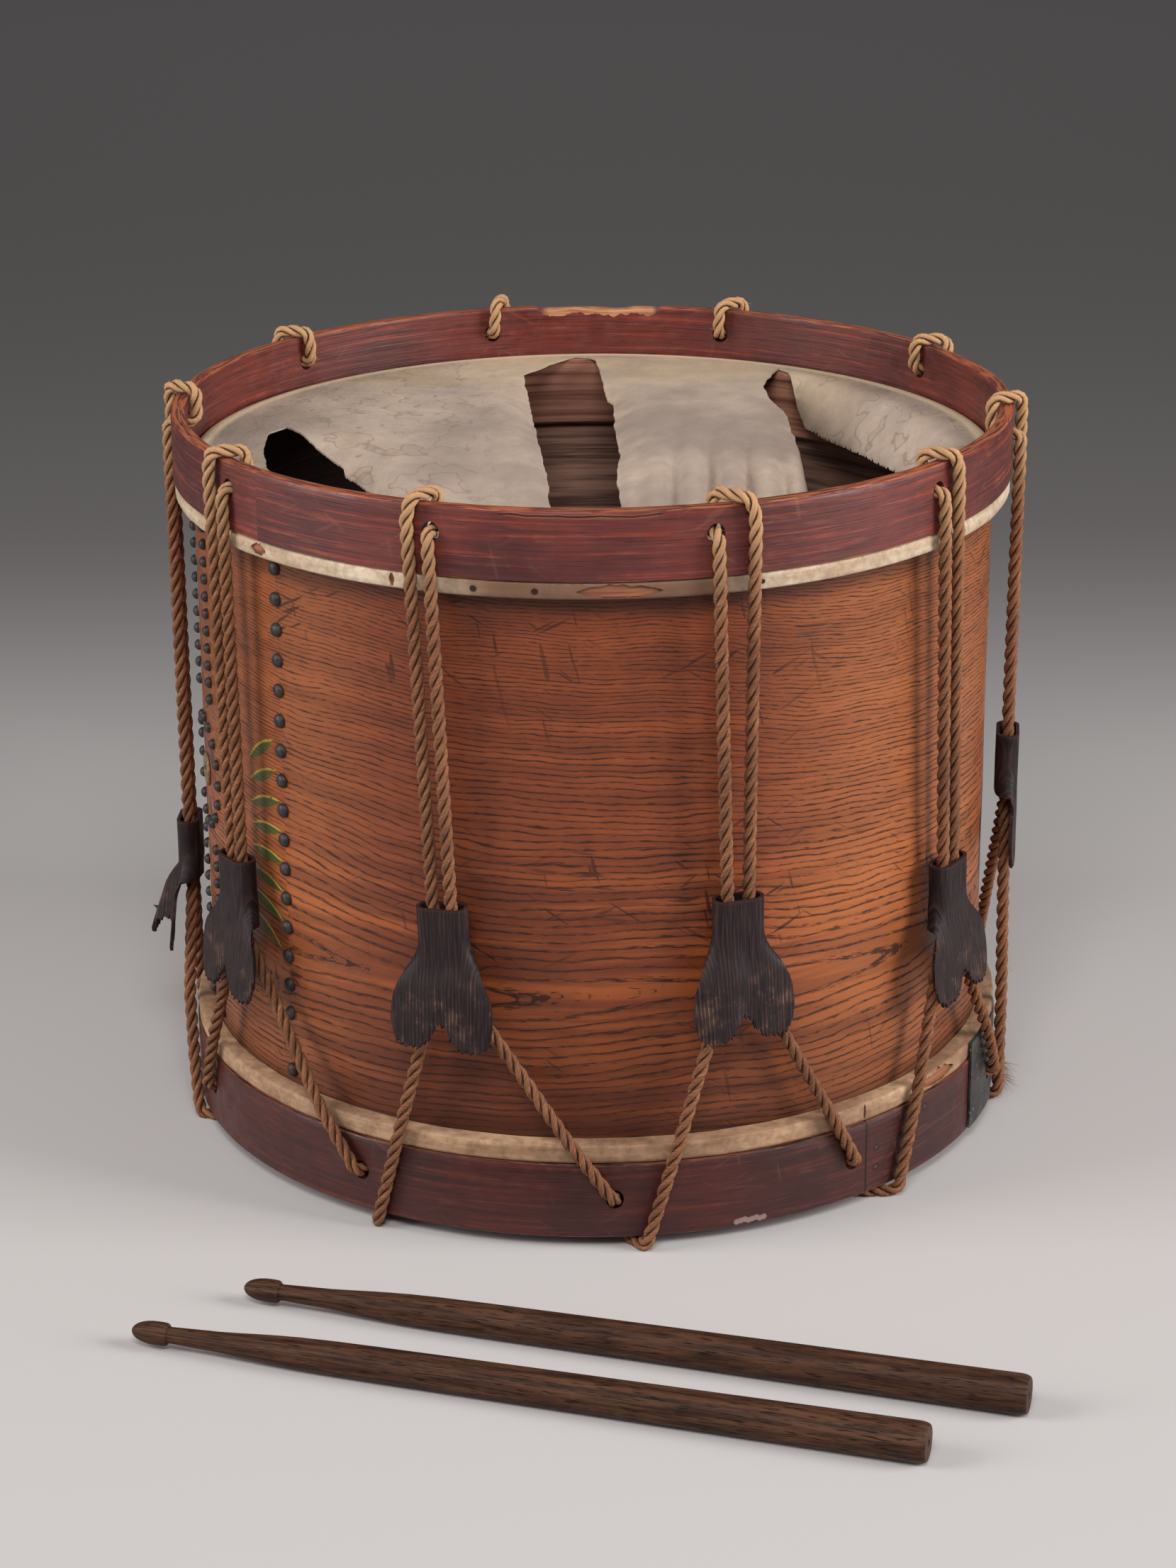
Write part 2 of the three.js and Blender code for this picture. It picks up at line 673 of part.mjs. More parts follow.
const tackGeometry = revolve([
  [0, seat],
  [tackDiameter / 2, seat],
  [tackDiameter / 3, seat + tackRise * 0.75],
  [0, seat + tackRise],
], 8);
const topTackLevel = upperHoopBottom - seat - fleshPackOf(upperFleshHoopHeight) - tackDiameter;
const lowTackLevel = lowerHoopTop + seat + fleshPackOf(lowerFleshHoopHeight) + tackDiameter;
const seamTackPitch = (topTackLevel - lowTackLevel) / (seamTackCount - 1);
for (let i = 0; i < seamTackCount; i += 1) {
  const tack = addPiece(`seam_tack_${String(i + 1).padStart(2, '0')}`, tackGeometry, tackIron);
  tack.applyMatrix4(turnedPlace(shellRadius, seamTackAngle, topTackLevel - i * seamTackPitch));
}

// Snares: one gut drawn to and fro across the lower skin, from the butt plate to the strainer

const snares = new THREE.Group();
snares.rotation.z = buttAngle;
drum.add(snares);

const gutFront = hoopRadius - hoopWall / 2;
const frameBack = hoopRadius + seat;
const jawBack = frameBack + frameWall + jawPlay;
const gutBack = jawBack + gutGrip;
const gutCorners = [];
for (let i = 0; i < gutCount; i += 1) {
  const across = (i - (gutCount - 1) / 2) * gutPitch;
  const ends = [new THREE.Vector3(across, gutBack, gutLevel), new THREE.Vector3(across, -gutFront, gutLevel)];
  gutCorners.push(...(i % 2 === 0 ? ends : ends.reverse()));
}
addPiece('gut_snares', laidCord(gutCorners, gutDiameter, gutPitch / 2), gut, snares);

function buttPlateSolid() {
  const inside = hoopRadius + seat;
  const turn = -Math.PI / 2;
  const sheet = new THREE.Shape();
  sheet.absarc(0, 0, inside + buttPlateThickness, buttPlateStart + turn, buttPlateEnd + turn, false);
  sheet.absarc(0, 0, inside, buttPlateEnd + turn, buttPlateStart + turn, true);
  const plateBottom = lowerHoopBottom + buttPlateMargin;
  const plate = extrude(sheet, partingLevel - ropeRadius - plateBottom, 4).translate(0, 0, plateBottom);
  return solidOf(plate).subtract(ropeHole(holeOf(footAnchor(lastFootIndex))));
}

addPiece('snare_butt_plate', geometryOf(buttPlateSolid()), darkSheet);

// Strainer: an iron frame on the hoop, a jaw that slides out in it, and a wing nut that draws the jaw

const frameInside = gateWidth;
const frameWidth = frameInside + 2 * frameWall;
const frameFront = frameBack + frameDepth;

function strainerFrameSolid() {
  const block = new THREE.BoxGeometry(frameWidth, frameDepth, frameHeight);
  block.translate(0, frameBack + frameDepth / 2, gutLevel);
  const cavity = new THREE.BoxGeometry(frameInside, frameDepth - 2 * frameWall, frameHeight + overrun);
  cavity.translate(0, frameBack + frameDepth / 2, gutLevel);
  const gate = new THREE.BoxGeometry(frameInside, frameWall + overrun, gateHeight);
  gate.translate(0, frameBack, gutLevel);
  const rodHole = rodDiameter / 2 + rodPlay;
  const bore = new THREE.CylinderGeometry(rodHole, rodHole, frameWall + overrun, 12);
  bore.translate(0, frameFront, gutLevel);
  return [cavity, gate, bore].reduce((solid, tool) => solid.subtract(solidOf(tool)), solidOf(block));
}

function strainerJawSolid() {
  const jaw = new THREE.BoxGeometry(frameInside - 2 * jawPlay, jawDepth, jawHeight);
  jaw.translate(0, jawBack + jawDepth / 2, gutLevel);
  const slotWidth = (gutCount - 1) * gutPitch + gutDiameter + 2 * seat;
  const slotDepth = gutGrip + gutDiameter / 2 + seat;
  const slot = new THREE.BoxGeometry(slotWidth, slotDepth + overrun, gutDiameter + 2 * seat);
  slot.translate(0, jawBack + (slotDepth - overrun) / 2, gutLevel);
  const rod = new THREE.CylinderGeometry(rodDiameter / 2, rodDiameter / 2, rodLength + overrun / 4, 12);
  rod.translate(0, jawBack + jawDepth + (rodLength - overrun / 4) / 2, gutLevel);
  return solidOf(jaw).subtract(solidOf(slot)).add(solidOf(rod));
}

const nutBack = frameFront + seat;

function wingNutSolid() {
  const hub = new THREE.CylinderGeometry(nutDiameter / 2, nutDiameter / 2, nutHeight, 12);
  const wingShape = new THREE.Shape();
  wingShape.moveTo(0, 0);
  wingShape.lineTo(wingSpan / 3, 0);
  wingShape.lineTo(wingSpan / 2, wingHeight * 0.6);
  wingShape.absarc(wingSpan / 2 - wingHeight / 4, wingHeight * 0.75, wingHeight / 4, 0, Math.PI, false);
  wingShape.lineTo(0, nutHeight);
  wingShape.closePath();
  const right = extrude(wingShape, wingThickness, 6);
  right.translate(0, -nutHeight / 2, -wingThickness / 2);
  const left = right.clone().rotateY(Math.PI);
  const hole = rodDiameter / 2 + rodPlay;
  const bore = new THREE.CylinderGeometry(hole, hole, nutHeight + 2 * wingHeight, 12);
  const nut = solidOf(hub).add(solidOf(right)).add(solidOf(left)).subtract(solidOf(bore));
  return geometryOf(nut).translate(0, nutBack + nutHeight / 2, gutLevel);
}

addPiece('strainer_frame', geometryOf(strainerFrameSolid()), iron, snares);
addPiece('strainer_jaw', geometryOf(strainerJawSolid()), iron, snares);
addPiece('strainer_wing_nut', wingNutSolid(), iron, snares);

// Drumsticks. Profile shares: distance from the tip of the length, radius of the butt's radius.

const stickShares = [
  [0, 0], [0.004, 0.26], [0.014, 0.5], [0.026, 0.59], [0.04, 0.56], [0.052, 0.44], [0.062, 0.44],
  [0.103, 0.49], [0.232, 0.67], [0.387, 0.825], [0.515, 0.9], [0.988, 1], [1, 0.9], [1, 0],
];
const stickSideCount = 12;
const stickTurn = -17.2 * degree;
const stickPlaceShares = [[-0.576, 0.809], [-0.447, 0.7]]; // tips: across and out, of the length
const [shoulderShare, shoulderRadiusShare] = stickShares[10];
const buttShare = stickShares[11][0];

// A stick rests on the floor along its length from the shoulder to the butt.
const stickGeometry = revolve(
  stickShares.map(([along, radius]) => [radius * stickDiameter / 2, along * stickLength]),
  stickSideCount,
).rotateZ(Math.PI / stickSideCount);
const flatness = Math.cos(Math.PI / stickSideCount);
const buttFlat = flatness * stickDiameter / 2;
const shoulderFlat = shoulderRadiusShare * buttFlat;
const stickRise = Math.atan((buttFlat - shoulderFlat) / (stickLength * (buttShare - shoulderShare)));

const sticks = new THREE.Group();
part.add(sticks);
stickPlaceShares.forEach(([across, out], i) => {
  const stick = addPiece(`drumstick_${i + 1}`, stickGeometry, walnut, sticks);
  const tipLevel = shoulderFlat * Math.cos(stickRise) - shoulderShare * stickLength * Math.sin(stickRise);
  stick.position.set(across * stickLength, -out * stickLength, tipLevel);
  stick.rotation.order = 'ZYX';
  stick.rotation.set(0, Math.PI / 2 - stickRise, stickTurn);
});

// The origin is the middle of the floor under all of it.
const middle = new THREE.Box3().setFromObject(part, true).getCenter(new THREE.Vector3());
for (const group of [drum, sticks]) group.position.set(-middle.x, -middle.y, 0);

export default part;
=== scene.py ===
import math
import random

import bmesh
import bpy
from mathutils import Matrix, Vector, kdtree, noise


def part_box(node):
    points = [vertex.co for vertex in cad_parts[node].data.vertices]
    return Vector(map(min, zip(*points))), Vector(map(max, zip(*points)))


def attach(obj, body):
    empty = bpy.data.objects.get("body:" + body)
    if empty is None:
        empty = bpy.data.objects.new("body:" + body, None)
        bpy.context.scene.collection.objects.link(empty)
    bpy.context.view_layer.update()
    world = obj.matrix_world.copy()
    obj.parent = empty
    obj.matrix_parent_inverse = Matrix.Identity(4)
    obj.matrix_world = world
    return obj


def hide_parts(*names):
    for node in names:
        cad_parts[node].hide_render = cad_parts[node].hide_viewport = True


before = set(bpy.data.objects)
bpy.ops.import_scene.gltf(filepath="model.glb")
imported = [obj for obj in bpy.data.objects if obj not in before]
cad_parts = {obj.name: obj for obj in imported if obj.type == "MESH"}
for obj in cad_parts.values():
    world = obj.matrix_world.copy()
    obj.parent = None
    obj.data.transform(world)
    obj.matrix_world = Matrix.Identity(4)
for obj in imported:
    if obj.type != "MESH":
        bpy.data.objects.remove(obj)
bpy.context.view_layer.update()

# Camera, studio light and floor
# The drum stands on pale paper with painted shade that makes it darker behind the drum, where the light
# falls off; it is seen from a little above its rim.
# Broad soft lights stand at the left, at the right and high in front of it.
# Angles run round the drum from the front, growing to the right.
hoop_low, hoop_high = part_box("upper_counter_hoop")
drum_x = (hoop_low[0] + hoop_high[0]) / 2
drum_y = (hoop_low[1] + hoop_high[1]) / 2
rim = hoop_high[2]
hoop_radius = (hoop_high[1] - hoop_low[1]) / 2
full_turn = 2 * math.pi

photo_height = 2212
photo_focus = 5184.8
camera_roll = math.radians(-0.404)
camera_x = drum_x - 0.0036
camera_distance = 1.8748
camera_height = 0.8552
aim_height = 0.1689
eye = Vector((camera_x, drum_y - camera_distance, camera_height))
aim = Vector((camera_x, drum_y, aim_height))
ahead = (aim - eye).normalized()
level_right = ahead.cross(Vector((0, 0, 1))).normalized()
level_up = level_right.cross(ahead)
right = level_right * math.cos(camera_roll) + level_up * math.sin(camera_roll)
up = level_up * math.cos(camera_roll) - level_right * math.sin(camera_roll)
camera_data = bpy.data.cameras.new("camera")
camera_data.sensor_width = 36
camera_data.lens = photo_focus / photo_height * camera_data.sensor_width
camera = bpy.data.objects.new("camera", camera_data)
camera.matrix_world = Matrix.Translation(eye) @ Matrix((right, up, -ahead)).transposed().to_4x4()
bpy.context.scene.collection.objects.link(camera)
bpy.context.scene.camera = camera
bpy.context.scene.view_settings.view_transform = "Standard"


def soft_light(name, place, width, height, power):
    data = bpy.data.lights.new(name, "AREA")
    data.shape = "RECTANGLE"
    data.size = width
    data.size_y = height
    data.energy = power
    data.spread = math.radians(125)
    lamp = bpy.data.objects.new(name, data)
    towards = Vector((drum_x, drum_y, 0.2)) - place
    lamp.matrix_world = Matrix.Translation(place) @ towards.to_track_quat("-Z", "Y").to_matrix().to_4x4()
    bpy.context.scene.collection.objects.link(lamp)


soft_light("left_light", Vector((-2.6, -0.7, 1.3)), 1.3, 1.8, 28.5)
soft_light("right_light", Vector((2.6, -0.8, 1.3)), 1.3, 1.8, 41)
soft_light("front_light", Vector((-0.1, -2.0, 2.2)), 1.2, 0.8, 20.5)


def linear(red, green, blue):
    """A colour given on the usual scale of 255, as the shader's linear colour."""
    shares = [value / 255 for value in (red, green, blue)]
    return [s / 12.92 if s <= 0.04045 else ((s + 0.055) / 1.055) ** 2.4 for s in shares] + [1]


world = bpy.data.worlds.new("studio")
world.use_nodes = True
world.node_tree.nodes["Background"].inputs["Color"].default_value = linear(228, 228, 230)
world.node_tree.nodes["Background"].inputs["Strength"].default_value = 0.19
bpy.context.scene.world = world


class Field:
    """A value, vector or colour that varies over a surface; arithmetic on it adds the nodes for it."""

    def __init__(self, tree, socket):
        self.tree = tree
        self.socket = socket

    def __add__(self, other):
        return calc("ADD", self, other)

    def __sub__(self, other):
        return calc("SUBTRACT", self, other)

    def __rsub__(self, other):
        return calc("SUBTRACT", other, self)

    def __mul__(self, other):
        return calc("MULTIPLY", self, other)

    def __truediv__(self, other):
        return calc("DIVIDE", self, other)

    def __abs__(self):
        return calc("ABSOLUTE", self)


def plug(tree, node, sockets):
    """Links inputs of a node to fields, or gives them plain values."""
    for name, value in sockets.items():
        if isinstance(value, Field):
            tree.links.new(value.socket, node.inputs[name])
        else:
            node.inputs[name].default_value = value


def wire(tree, kind, sockets, output=0, **settings):
    """One output of a new node of that kind, as a field."""
    made = tree.nodes.new(kind)
    for name, value in settings.items():
        setattr(made, name, value)
    plug(tree, made, sockets)
    return Field(tree, made.outputs[output])


def calc(operation, *values):
    """A math node's result for some values, of which one at least is a field."""
    tree = next(value.tree for value in values if isinstance(value, Field))
    return wire(tree, "ShaderNodeMath", dict(enumerate(values)), operation=operation)


def span(value, start, end, low=0.0, high=1.0):
    """Value eased from low at start to high at end, and held outside them."""
    sockets = {"Value": value, "From Min": start, "From Max": end, "To Min": low, "To Max": high}
    return wire(value.tree, "ShaderNodeMapRange", sockets, interpolation_type="SMOOTHSTEP")


def mixed(share, below, above):
    """A colour between two, each a field or red, green and blue on the usual scale of 255."""
    sockets = {0: share}
    for index, colour in ((6, below), (7, above)):
        sockets[index] = colour if isinstance(colour, Field) else linear(*colour)
    return wire(share.tree, "ShaderNodeMix", sockets, output=2, data_type="RGBA")


def object_place(tree):
    return wire(tree, "ShaderNodeTexCoord", {}, output="Object")


def axis(vector, letter):
    return wire(vector.tree, "ShaderNodeSeparateXYZ", {0: vector}, output=letter)


def finish(name, **constants):
    """A material and its tree; plain constants stand on its surface shader's own sockets."""
    made = bpy.data.materials.new(name)
    made.use_nodes = True
    surface = made.node_tree.nodes["Principled BSDF"]
    for socket, value in {"Specular_IOR_Level": 0.25, **constants}.items():
        surface.inputs[socket.replace("_", " ")].default_value = value
    return made, made.node_tree


def dress(tree, colour, roughness=None, height=None, depth=0.0003):
    """Gives a surface its colour, its roughness and a relief, whose full height is depth in metres."""
    sockets = {"Base Color": colour}
    if roughness is not None:
        sockets["Roughness"] = roughness
    if height is not None:
        sockets["Normal"] = wire(tree, "ShaderNodeBump", {"Height": height, "Distance": depth})
    plug(tree, tree.nodes["Principled BSDF"], sockets)


def new_object(name, bm):
    mesh = bpy.data.meshes.new(name)
    bm.to_mesh(mesh)
    bm.free()
    made = bpy.data.objects.new(name, mesh)
    bpy.context.scene.collection.objects.link(made)
    return made


floor_finish, tree = finish("floor_paper", Roughness=0.9)
floor_back = axis(object_place(tree), "Y")
# Painted shade: the paper darkens behind the drum, then grows a little lighter again far off, to stand in
# for the light falling off.
darker = span(floor_back, 0.15, 1.25, 0, 0.8) - span(floor_back, 1.6, 4.6, 0, 0.35)
dress(tree, mixed(darker, (192, 187, 185), (78, 74, 74)))

floor_half = 14
bm = bmesh.new()
bmesh.ops.create_grid(bm, x_segments=1, y_segments=1, size=floor_half)
floor = new_object("floor", bm)
floor.data.materials.append(floor_finish)

# Shell
# One oak board, about 6 mm thick, steamed and bent round into a tube and lapped in an upright seam.
# It is stained orange-brown and varnished; the pores of the growth rings run round it as dark dashes.
shell_low, shell_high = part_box("shell")
shell_radius = (shell_high[1] - shell_low[1]) / 2
shell_bottom, shell_top = shell_low[2], shell_high[2]
shell_wall = 0.006
bearing_round = 0.002
seam_angle = math.radians(-48.5)
vent_angle = math.radians(-77)
vent_level = (shell_bottom + shell_top) / 2
vent_hole_radius = 0.0061
shell_steps = 256
fit = 0.0003
merge_distance = 1e-6
drill_sides = 24
# Turns a piece that stands upright so that its top points along y.
upright_to_out = Matrix.Rotation(-math.pi / 2, 4, "X")


def around(radius, angle, level):
    return Vector((drum_x + radius * math.sin(angle), drum_y - radius * math.cos(angle), level))


def side_place(radius, angle, level):
    """A frame on the drum's side: x to the left as seen from outside, y out of the drum, z up."""
    out = Vector((math.sin(angle), -math.cos(angle), 0))
    left = out.cross(Vector((0, 0, 1)))
    turn = Matrix((left, out, Vector((0, 0, 1)))).transposed().to_4x4()
    return Matrix.Translation(around(radius, angle, level)) @ turn


def stretch_of(start, end, count):
    """Points from start up to but not including end, to divide a long straight side."""
    return [(start[0] + (end[0] - start[0]) * i / count, start[1] + (end[1] - start[1]) * i / count)
            for i in range(count)]


def spun(profile, steps=shell_steps, closed=True, centre=(drum_x, drum_y)):
    """A profile of (radius, level) pairs turned round the drum's axis, or round another upright one."""
    bm = bmesh.new()
    verts = [bm.verts.new((centre[0] + radius, centre[1], level)) for radius, level in profile]
    pairs = list(zip(verts, verts[1:])) + ([(verts[-1], verts[0])] if closed else [])
    edges = [bm.edges.new(pair) for pair in pairs]
    bmesh.ops.spin(bm, geom=verts + edges, cent=(*centre, 0), axis=(0, 0, 1),
                   angle=full_turn, steps=steps, use_merge=True)
    bmesh.ops.remove_doubles(bm, verts=bm.verts, dist=merge_distance)
    bmesh.ops.recalc_face_normals(bm, faces=bm.faces)
    return bm


def settled(piece):
    """Makes the piece's modifiers part of its mesh."""
    depsgraph = bpy.context.evaluated_depsgraph_get()
    mesh = bpy.data.meshes.new_from_object(piece.evaluated_get(depsgraph), preserve_all_data_layers=True,
                                           depsgraph=depsgraph)
    piece.modifiers.clear()
    piece.data = mesh


def carved(piece, cutter_mesh):
    """Cuts the shape held by a bmesh out of the piece."""
    cutter = new_object("cutter", cutter_mesh)
    cut = piece.modifiers.new("cut", "BOOLEAN")
    cut.operation = "DIFFERENCE"
    cut.solver = "EXACT"
    cut.object = cutter
    settled(piece)
    bpy.data.objects.remove(cutter)


def completed(piece, body, slot, *materials, sharp=35, replaced=()):
    """Smooths the piece, gives it its finish and says which body carries it; slot is not used."""
    for made in materials:
        piece.data.materials.append(made)
    piece.data.shade_smooth()
    piece.data.set_sharp_from_angle(angle=math.radians(sharp))
    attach(piece, body)
    if replaced:
        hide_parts(*replaced)
    return piece


def drilled(bm, place, half_width, half_height, depth):
    """Adds a drill of elliptical section, along the y axis of a place, to a cutter."""
    section = Matrix.Diagonal((half_width, 1, half_height, 1))
    bmesh.ops.create_cone(bm, cap_ends=True, segments=drill_sides, radius1=1, radius2=1, depth=depth,
                          matrix=place @ section @ upright_to_out)


def spots(vector, scale, detail=2.0, roughness=0.5):
    sockets = {"Vector": vector, "Scale": scale, "Detail": detail, "Roughness": roughness}
    return wire(vector.tree, "ShaderNodeTexNoise", sockets, output="Fac")


def stretched(vector, x, y, z, turn=0.0):
    """Coordinates turned in their x and y plane, then made so many times as dense each way."""
    sockets = {"Vector": vector, "Rotation": (0, 0, turn), "Scale": (x, y, z)}
    return wire(vector.tree, "ShaderNodeMapping", sockets)


def grained(sheet, x, y, z, detail=4.0, roughness=0.6):
    """Streaks, with so many spots to the metre each way."""
    return spots(stretched(sheet, x, y, z), 1.0, detail, roughness)


def vector(x, y, z=0.0):
    return wire(x.tree, "ShaderNodeCombineXYZ", {0: x, 1: y, 2: z})


def length_of(x, y):
    return calc("SQRT", x * x + y * y)


def largest(*fields):
    """The largest of some fields, point by point."""
    found = fields[0]
    for other in fields[1:]:
        found = calc("MAXIMUM", found, other)
    return found


def new_group(name, inputs, outputs):
    """A node group and its inputs as fields; each name comes with its socket's kind."""
    group = bpy.data.node_groups.new(name, "ShaderNodeTree")
    for way, sockets in (("INPUT", inputs), ("OUTPUT", outputs)):
        for label, kind in sockets.items():
            group.interface.new_socket(label, in_out=way, socket_type="NodeSocket" + kind)
    entry = group.nodes.new("NodeGroupInput").outputs
    return group, {label: Field(group, entry[label]) for label in inputs}


def put_out(group, sockets):
    plug(group, group.nodes.new("NodeGroupOutput"), sockets)


def use_group(group, sockets):
    """What a group puts out for some inputs, as fields by name."""
    tree = next(value.tree for value in sockets.values() if isinstance(value, Field))
    made = tree.nodes.new("ShaderNodeGroup")
    made.node_tree = group
    plug(tree, made, sockets)
    return {output.name: Field(tree, output) for output in made.outputs}


wrap_group, entry = new_group(
    "round_the_drum", {"Place": "Vector"},
    {"Arc": "Float", "Level": "Float", "Sheet": "Vector", "Turn": "Float"})
east = axis(entry["Place"], "X") - drum_x
south = drum_y - axis(entry["Place"], "Y")
level = axis(entry["Place"], "Z")
turn = calc("ARCTAN2", east, south)
arc = calc("WRAP", turn - seam_angle, full_turn, 0.0) * shell_radius
sheet = vector(arc, level, length_of(east, south))
put_out(wrap_group, {"Arc": arc, "Level": level, "Sheet": sheet, "Turn": turn})


def round_drum(tree):
    """The drum's side rolled out: the arc from the seam, the level, both as a sheet, and the angle."""
    return use_group(wrap_group, {"Place": object_place(tree)})


scratch_group, entry = new_group("scratches", {"Sheet": "Vector", "Amount": "Float"}, {"Mask": "Float"})
strokes = []
for tilt, scale in ((35, 330), (-28, 270), (78, 230), (4, 250)):
    leaning = stretched(entry["Sheet"], 1, 1, 1, math.radians(tilt))
    strokes.append(span(spots(stretched(leaning, 0.12, 1, 1), scale, 1.0), 0.69, 0.74))
patches = span(spots(entry["Sheet"], 14), 0.42, 0.66)
put_out(scratch_group, {"Mask": largest(*strokes) * patches * entry["Amount"]})

grime_group, entry = new_group(
    "grime", {"Sheet": "Vector", "Scale": "Float"}, {"Broad": "Float", "Fine": "Float"})
broad = spots(entry["Sheet"], entry["Scale"], 3.0, 0.6)
fine = spots(entry["Sheet"], entry["Scale"] * 9.0, 4.0, 0.65)
put_out(grime_group, {"Broad": span(broad, 0.35, 0.68), "Fine": span(fine, 0.38, 0.66)})


def grimed(sheet, scale):
    """Broad stains and fine specks."""
    grime = use_group(grime_group, {"Sheet": sheet, "Scale": scale})
    return grime["Broad"], grime["Fine"]


leaf_sizes = ("Arc", "Level", "Root Arc", "Root Level", "Lean", "Length", "Width")
leaf_group, entry = new_group(
    "painted_leaf", dict.fromkeys(leaf_sizes, "Float"), {"Body": "Float", "Edge": "Float"})
across = entry["Arc"] - entry["Root Arc"]
rise = entry["Level"] - entry["Root Level"]
cosine, sine = calc("COSINE", entry["Lean"]), calc("SINE", entry["Lean"])
along = across * cosine + rise * sine
aside = rise * cosine - across * sine
share = along / entry["Length"]
margin = share * (2.0 - share * 2.0) * entry["Width"] - abs(aside)
body = span(margin, 0.0, 0.0003)
edge = body * span(aside, -0.0003, 0.0004) * span(margin, 0.0017, 0.0010)
put_out(leaf_group, {"Body": body, "Edge": edge})


def painted(wrapped, leaves):
    """The bodies and the edges of some leaves: each (degrees, level, lean in degrees, length, width)."""
    made = []
    for angle, level, lean, length, width in leaves:
        root = (math.radians(angle) - seam_angle) % full_turn * shell_radius
        made.append(use_group(leaf_group, {
            "Arc": wrapped["Arc"], "Level": wrapped["Level"], "Root Arc": root, "Root Level": level,
            "Lean": math.radians(lean), "Length": length, "Width": width}))
    return [largest(*[leaf[name] for leaf in made]) for name in ("Body", "Edge")]


mark_group, entry = new_group(
    "round_mark", dict.fromkeys(("Turn", "Level", "At", "Height", "Radius"), "Float"), {"Mask": "Float"})
away = length_of((entry["Turn"] - entry["At"]) * shell_radius, entry["Level"] - entry["Height"])
put_out(mark_group, {"Mask": span(away, entry["Radius"], entry["Radius"] * 0.6)})


def marks(wrapped, places):
    """Round marks on the drum's side, each (degrees, level, radius)."""
    found = []
    for angle, level, radius in places:
        found.append(use_group(mark_group, {
            "Turn": wrapped["Turn"], "Level": wrapped["Level"],
            "At": math.radians(angle), "Height": level, "Radius": radius})["Mask"])
    return largest(*found)


def scratches(sheet, amount):
    return use_group(scratch_group, {"Sheet": sheet, "Amount": amount})["Mask"]


# The growth rings are cut lengthwise, so that they run as long narrow bends round a slanting middle line.
oak_finish, tree = finish("varnished_oak", Coat_Weight=0.08, Coat_Roughness=0.3)
wrapped = round_drum(tree)
arc, level, sheet, turn = (wrapped[name] for name in ("Arc", "Level", "Sheet", "Turn"))
drift = (spots(sheet, 6.5, 1.0) - 0.5) * 0.026
ripple = (spots(stretched(sheet, 1, 2.4, 0), 26) - 0.5) * 0.0056
figure_level = arc * -0.018 + 0.1345
offset = level - figure_level + (drift + ripple)
ring_depth = arc * 0.06 + length_of(offset, 0.006)
share_of_ring = calc("FRACT", ring_depth * (ring_depth * 900 + 130))
early = span(share_of_ring, 0.0, 0.06) * span(share_of_ring, 0.16, 0.5, 1.0, 0.0)
dashes = spots(vector(arc * 130, ring_depth * 2100), 1.0, 3.0, 0.65)
long_dashes = spots(vector(arc * 21, ring_depth * 420), 1.0, 3.0, 0.6)
pore = span(early * 0.175 + (long_dashes * 0.4 + dashes * 0.8), 0.735, 0.80)
long_tone = grained(sheet, 5, 90, 1, 3.0)
broad, fine = grimed(sheet, 7.0)
ground = mixed(span(long_tone, 0.3, 0.7), (142, 72, 39), (111, 54, 31))
ground = mixed(broad * 0.4, ground, (92, 44, 27))
ground = mixed(fine * 0.22, ground, (74, 35, 23))
low_glow = span(level, 0.22, 0.16) * span(long_tone, 0.55, 0.4)
ground = mixed(low_glow * 0.45, ground, (174, 94, 48))
ground = mixed(early * 0.32, ground, (84, 40, 27))
# Painted sheen: the wood is made paler and yellower towards the left and right sides, where the side lights
# catch the varnish.
painted_side_sheen = largest(span(turn, 0.3, 0.75, 0, 0.5), span(turn, -0.45, -0.8, 0, 0.38))
ground = mixed(painted_side_sheen * span(long_tone, 0.7, 0.3, 0.45, 0.75), ground, (188, 116, 66))
wood = mixed(pore * 0.88, ground, (48, 23, 18))

# The painted panel: a spray of plain leaves with gold edges, and a ring of plain petals round the vent.
leaf_length, leaf_width = 0.030, 0.0066
petal_length, petal_width = 0.015, 0.009
petal_level = 0.1964
petal_count = 9
leaf_spray = [(-57.2, 0.144 + 0.0118 * i, 9 * i - 30, leaf_length, leaf_width) for i in range(8)]
petals = []
for i in range(petal_count):
    lean = full_turn * i / petal_count
    petals.append((math.degrees(vent_angle) + 3.2 * math.cos(lean), petal_level + 0.0117 * math.sin(lean),
                   math.degrees(lean), petal_length, petal_width))
rubbed_off = span(spots(sheet, 160, 4.0, 0.7), 0.66, 0.57)
green, gold = painted(wrapped, leaf_spray)
wood = mixed(green * rubbed_off * 0.9, wood, (62, 78, 38))
wood = mixed(gold * rubbed_off * 0.9, wood, (182, 150, 58))
wood = mixed(painted(wrapped, petals[::2])[0] * 0.7, wood, (122, 44, 32))
wood = mixed(painted(wrapped, petals[1::2])[0] * 0.7, wood, (44, 46, 56))

scratched = scratches(sheet, 0.75)
wood = mixed(scratched, wood, (40, 20, 15))
near_top = span(level, shell_top - 0.034, shell_top - 0.018)
near_bottom = span(level, shell_bottom + 0.034, shell_bottom + 0.016)
wood = mixed(largest(near_top, near_bottom) * 0.6, wood, (58, 30, 21))
# Painted shade: the wood is darkened low down at the front, where less light falls.
painted_low_front_shade = span(level, 0.16, 0.05, 0, 0.62) * span(abs(turn), 0.9, 0.3, 0.65, 1)
wood = mixed(painted_low_front_shade, wood, (54, 28, 22))
relief = broad * 0.5 - pore * 0.6 - scratched
dress(tree, wood, pore * 0.22 + (fine * 0.14 + 0.36), relief, 0.00025)

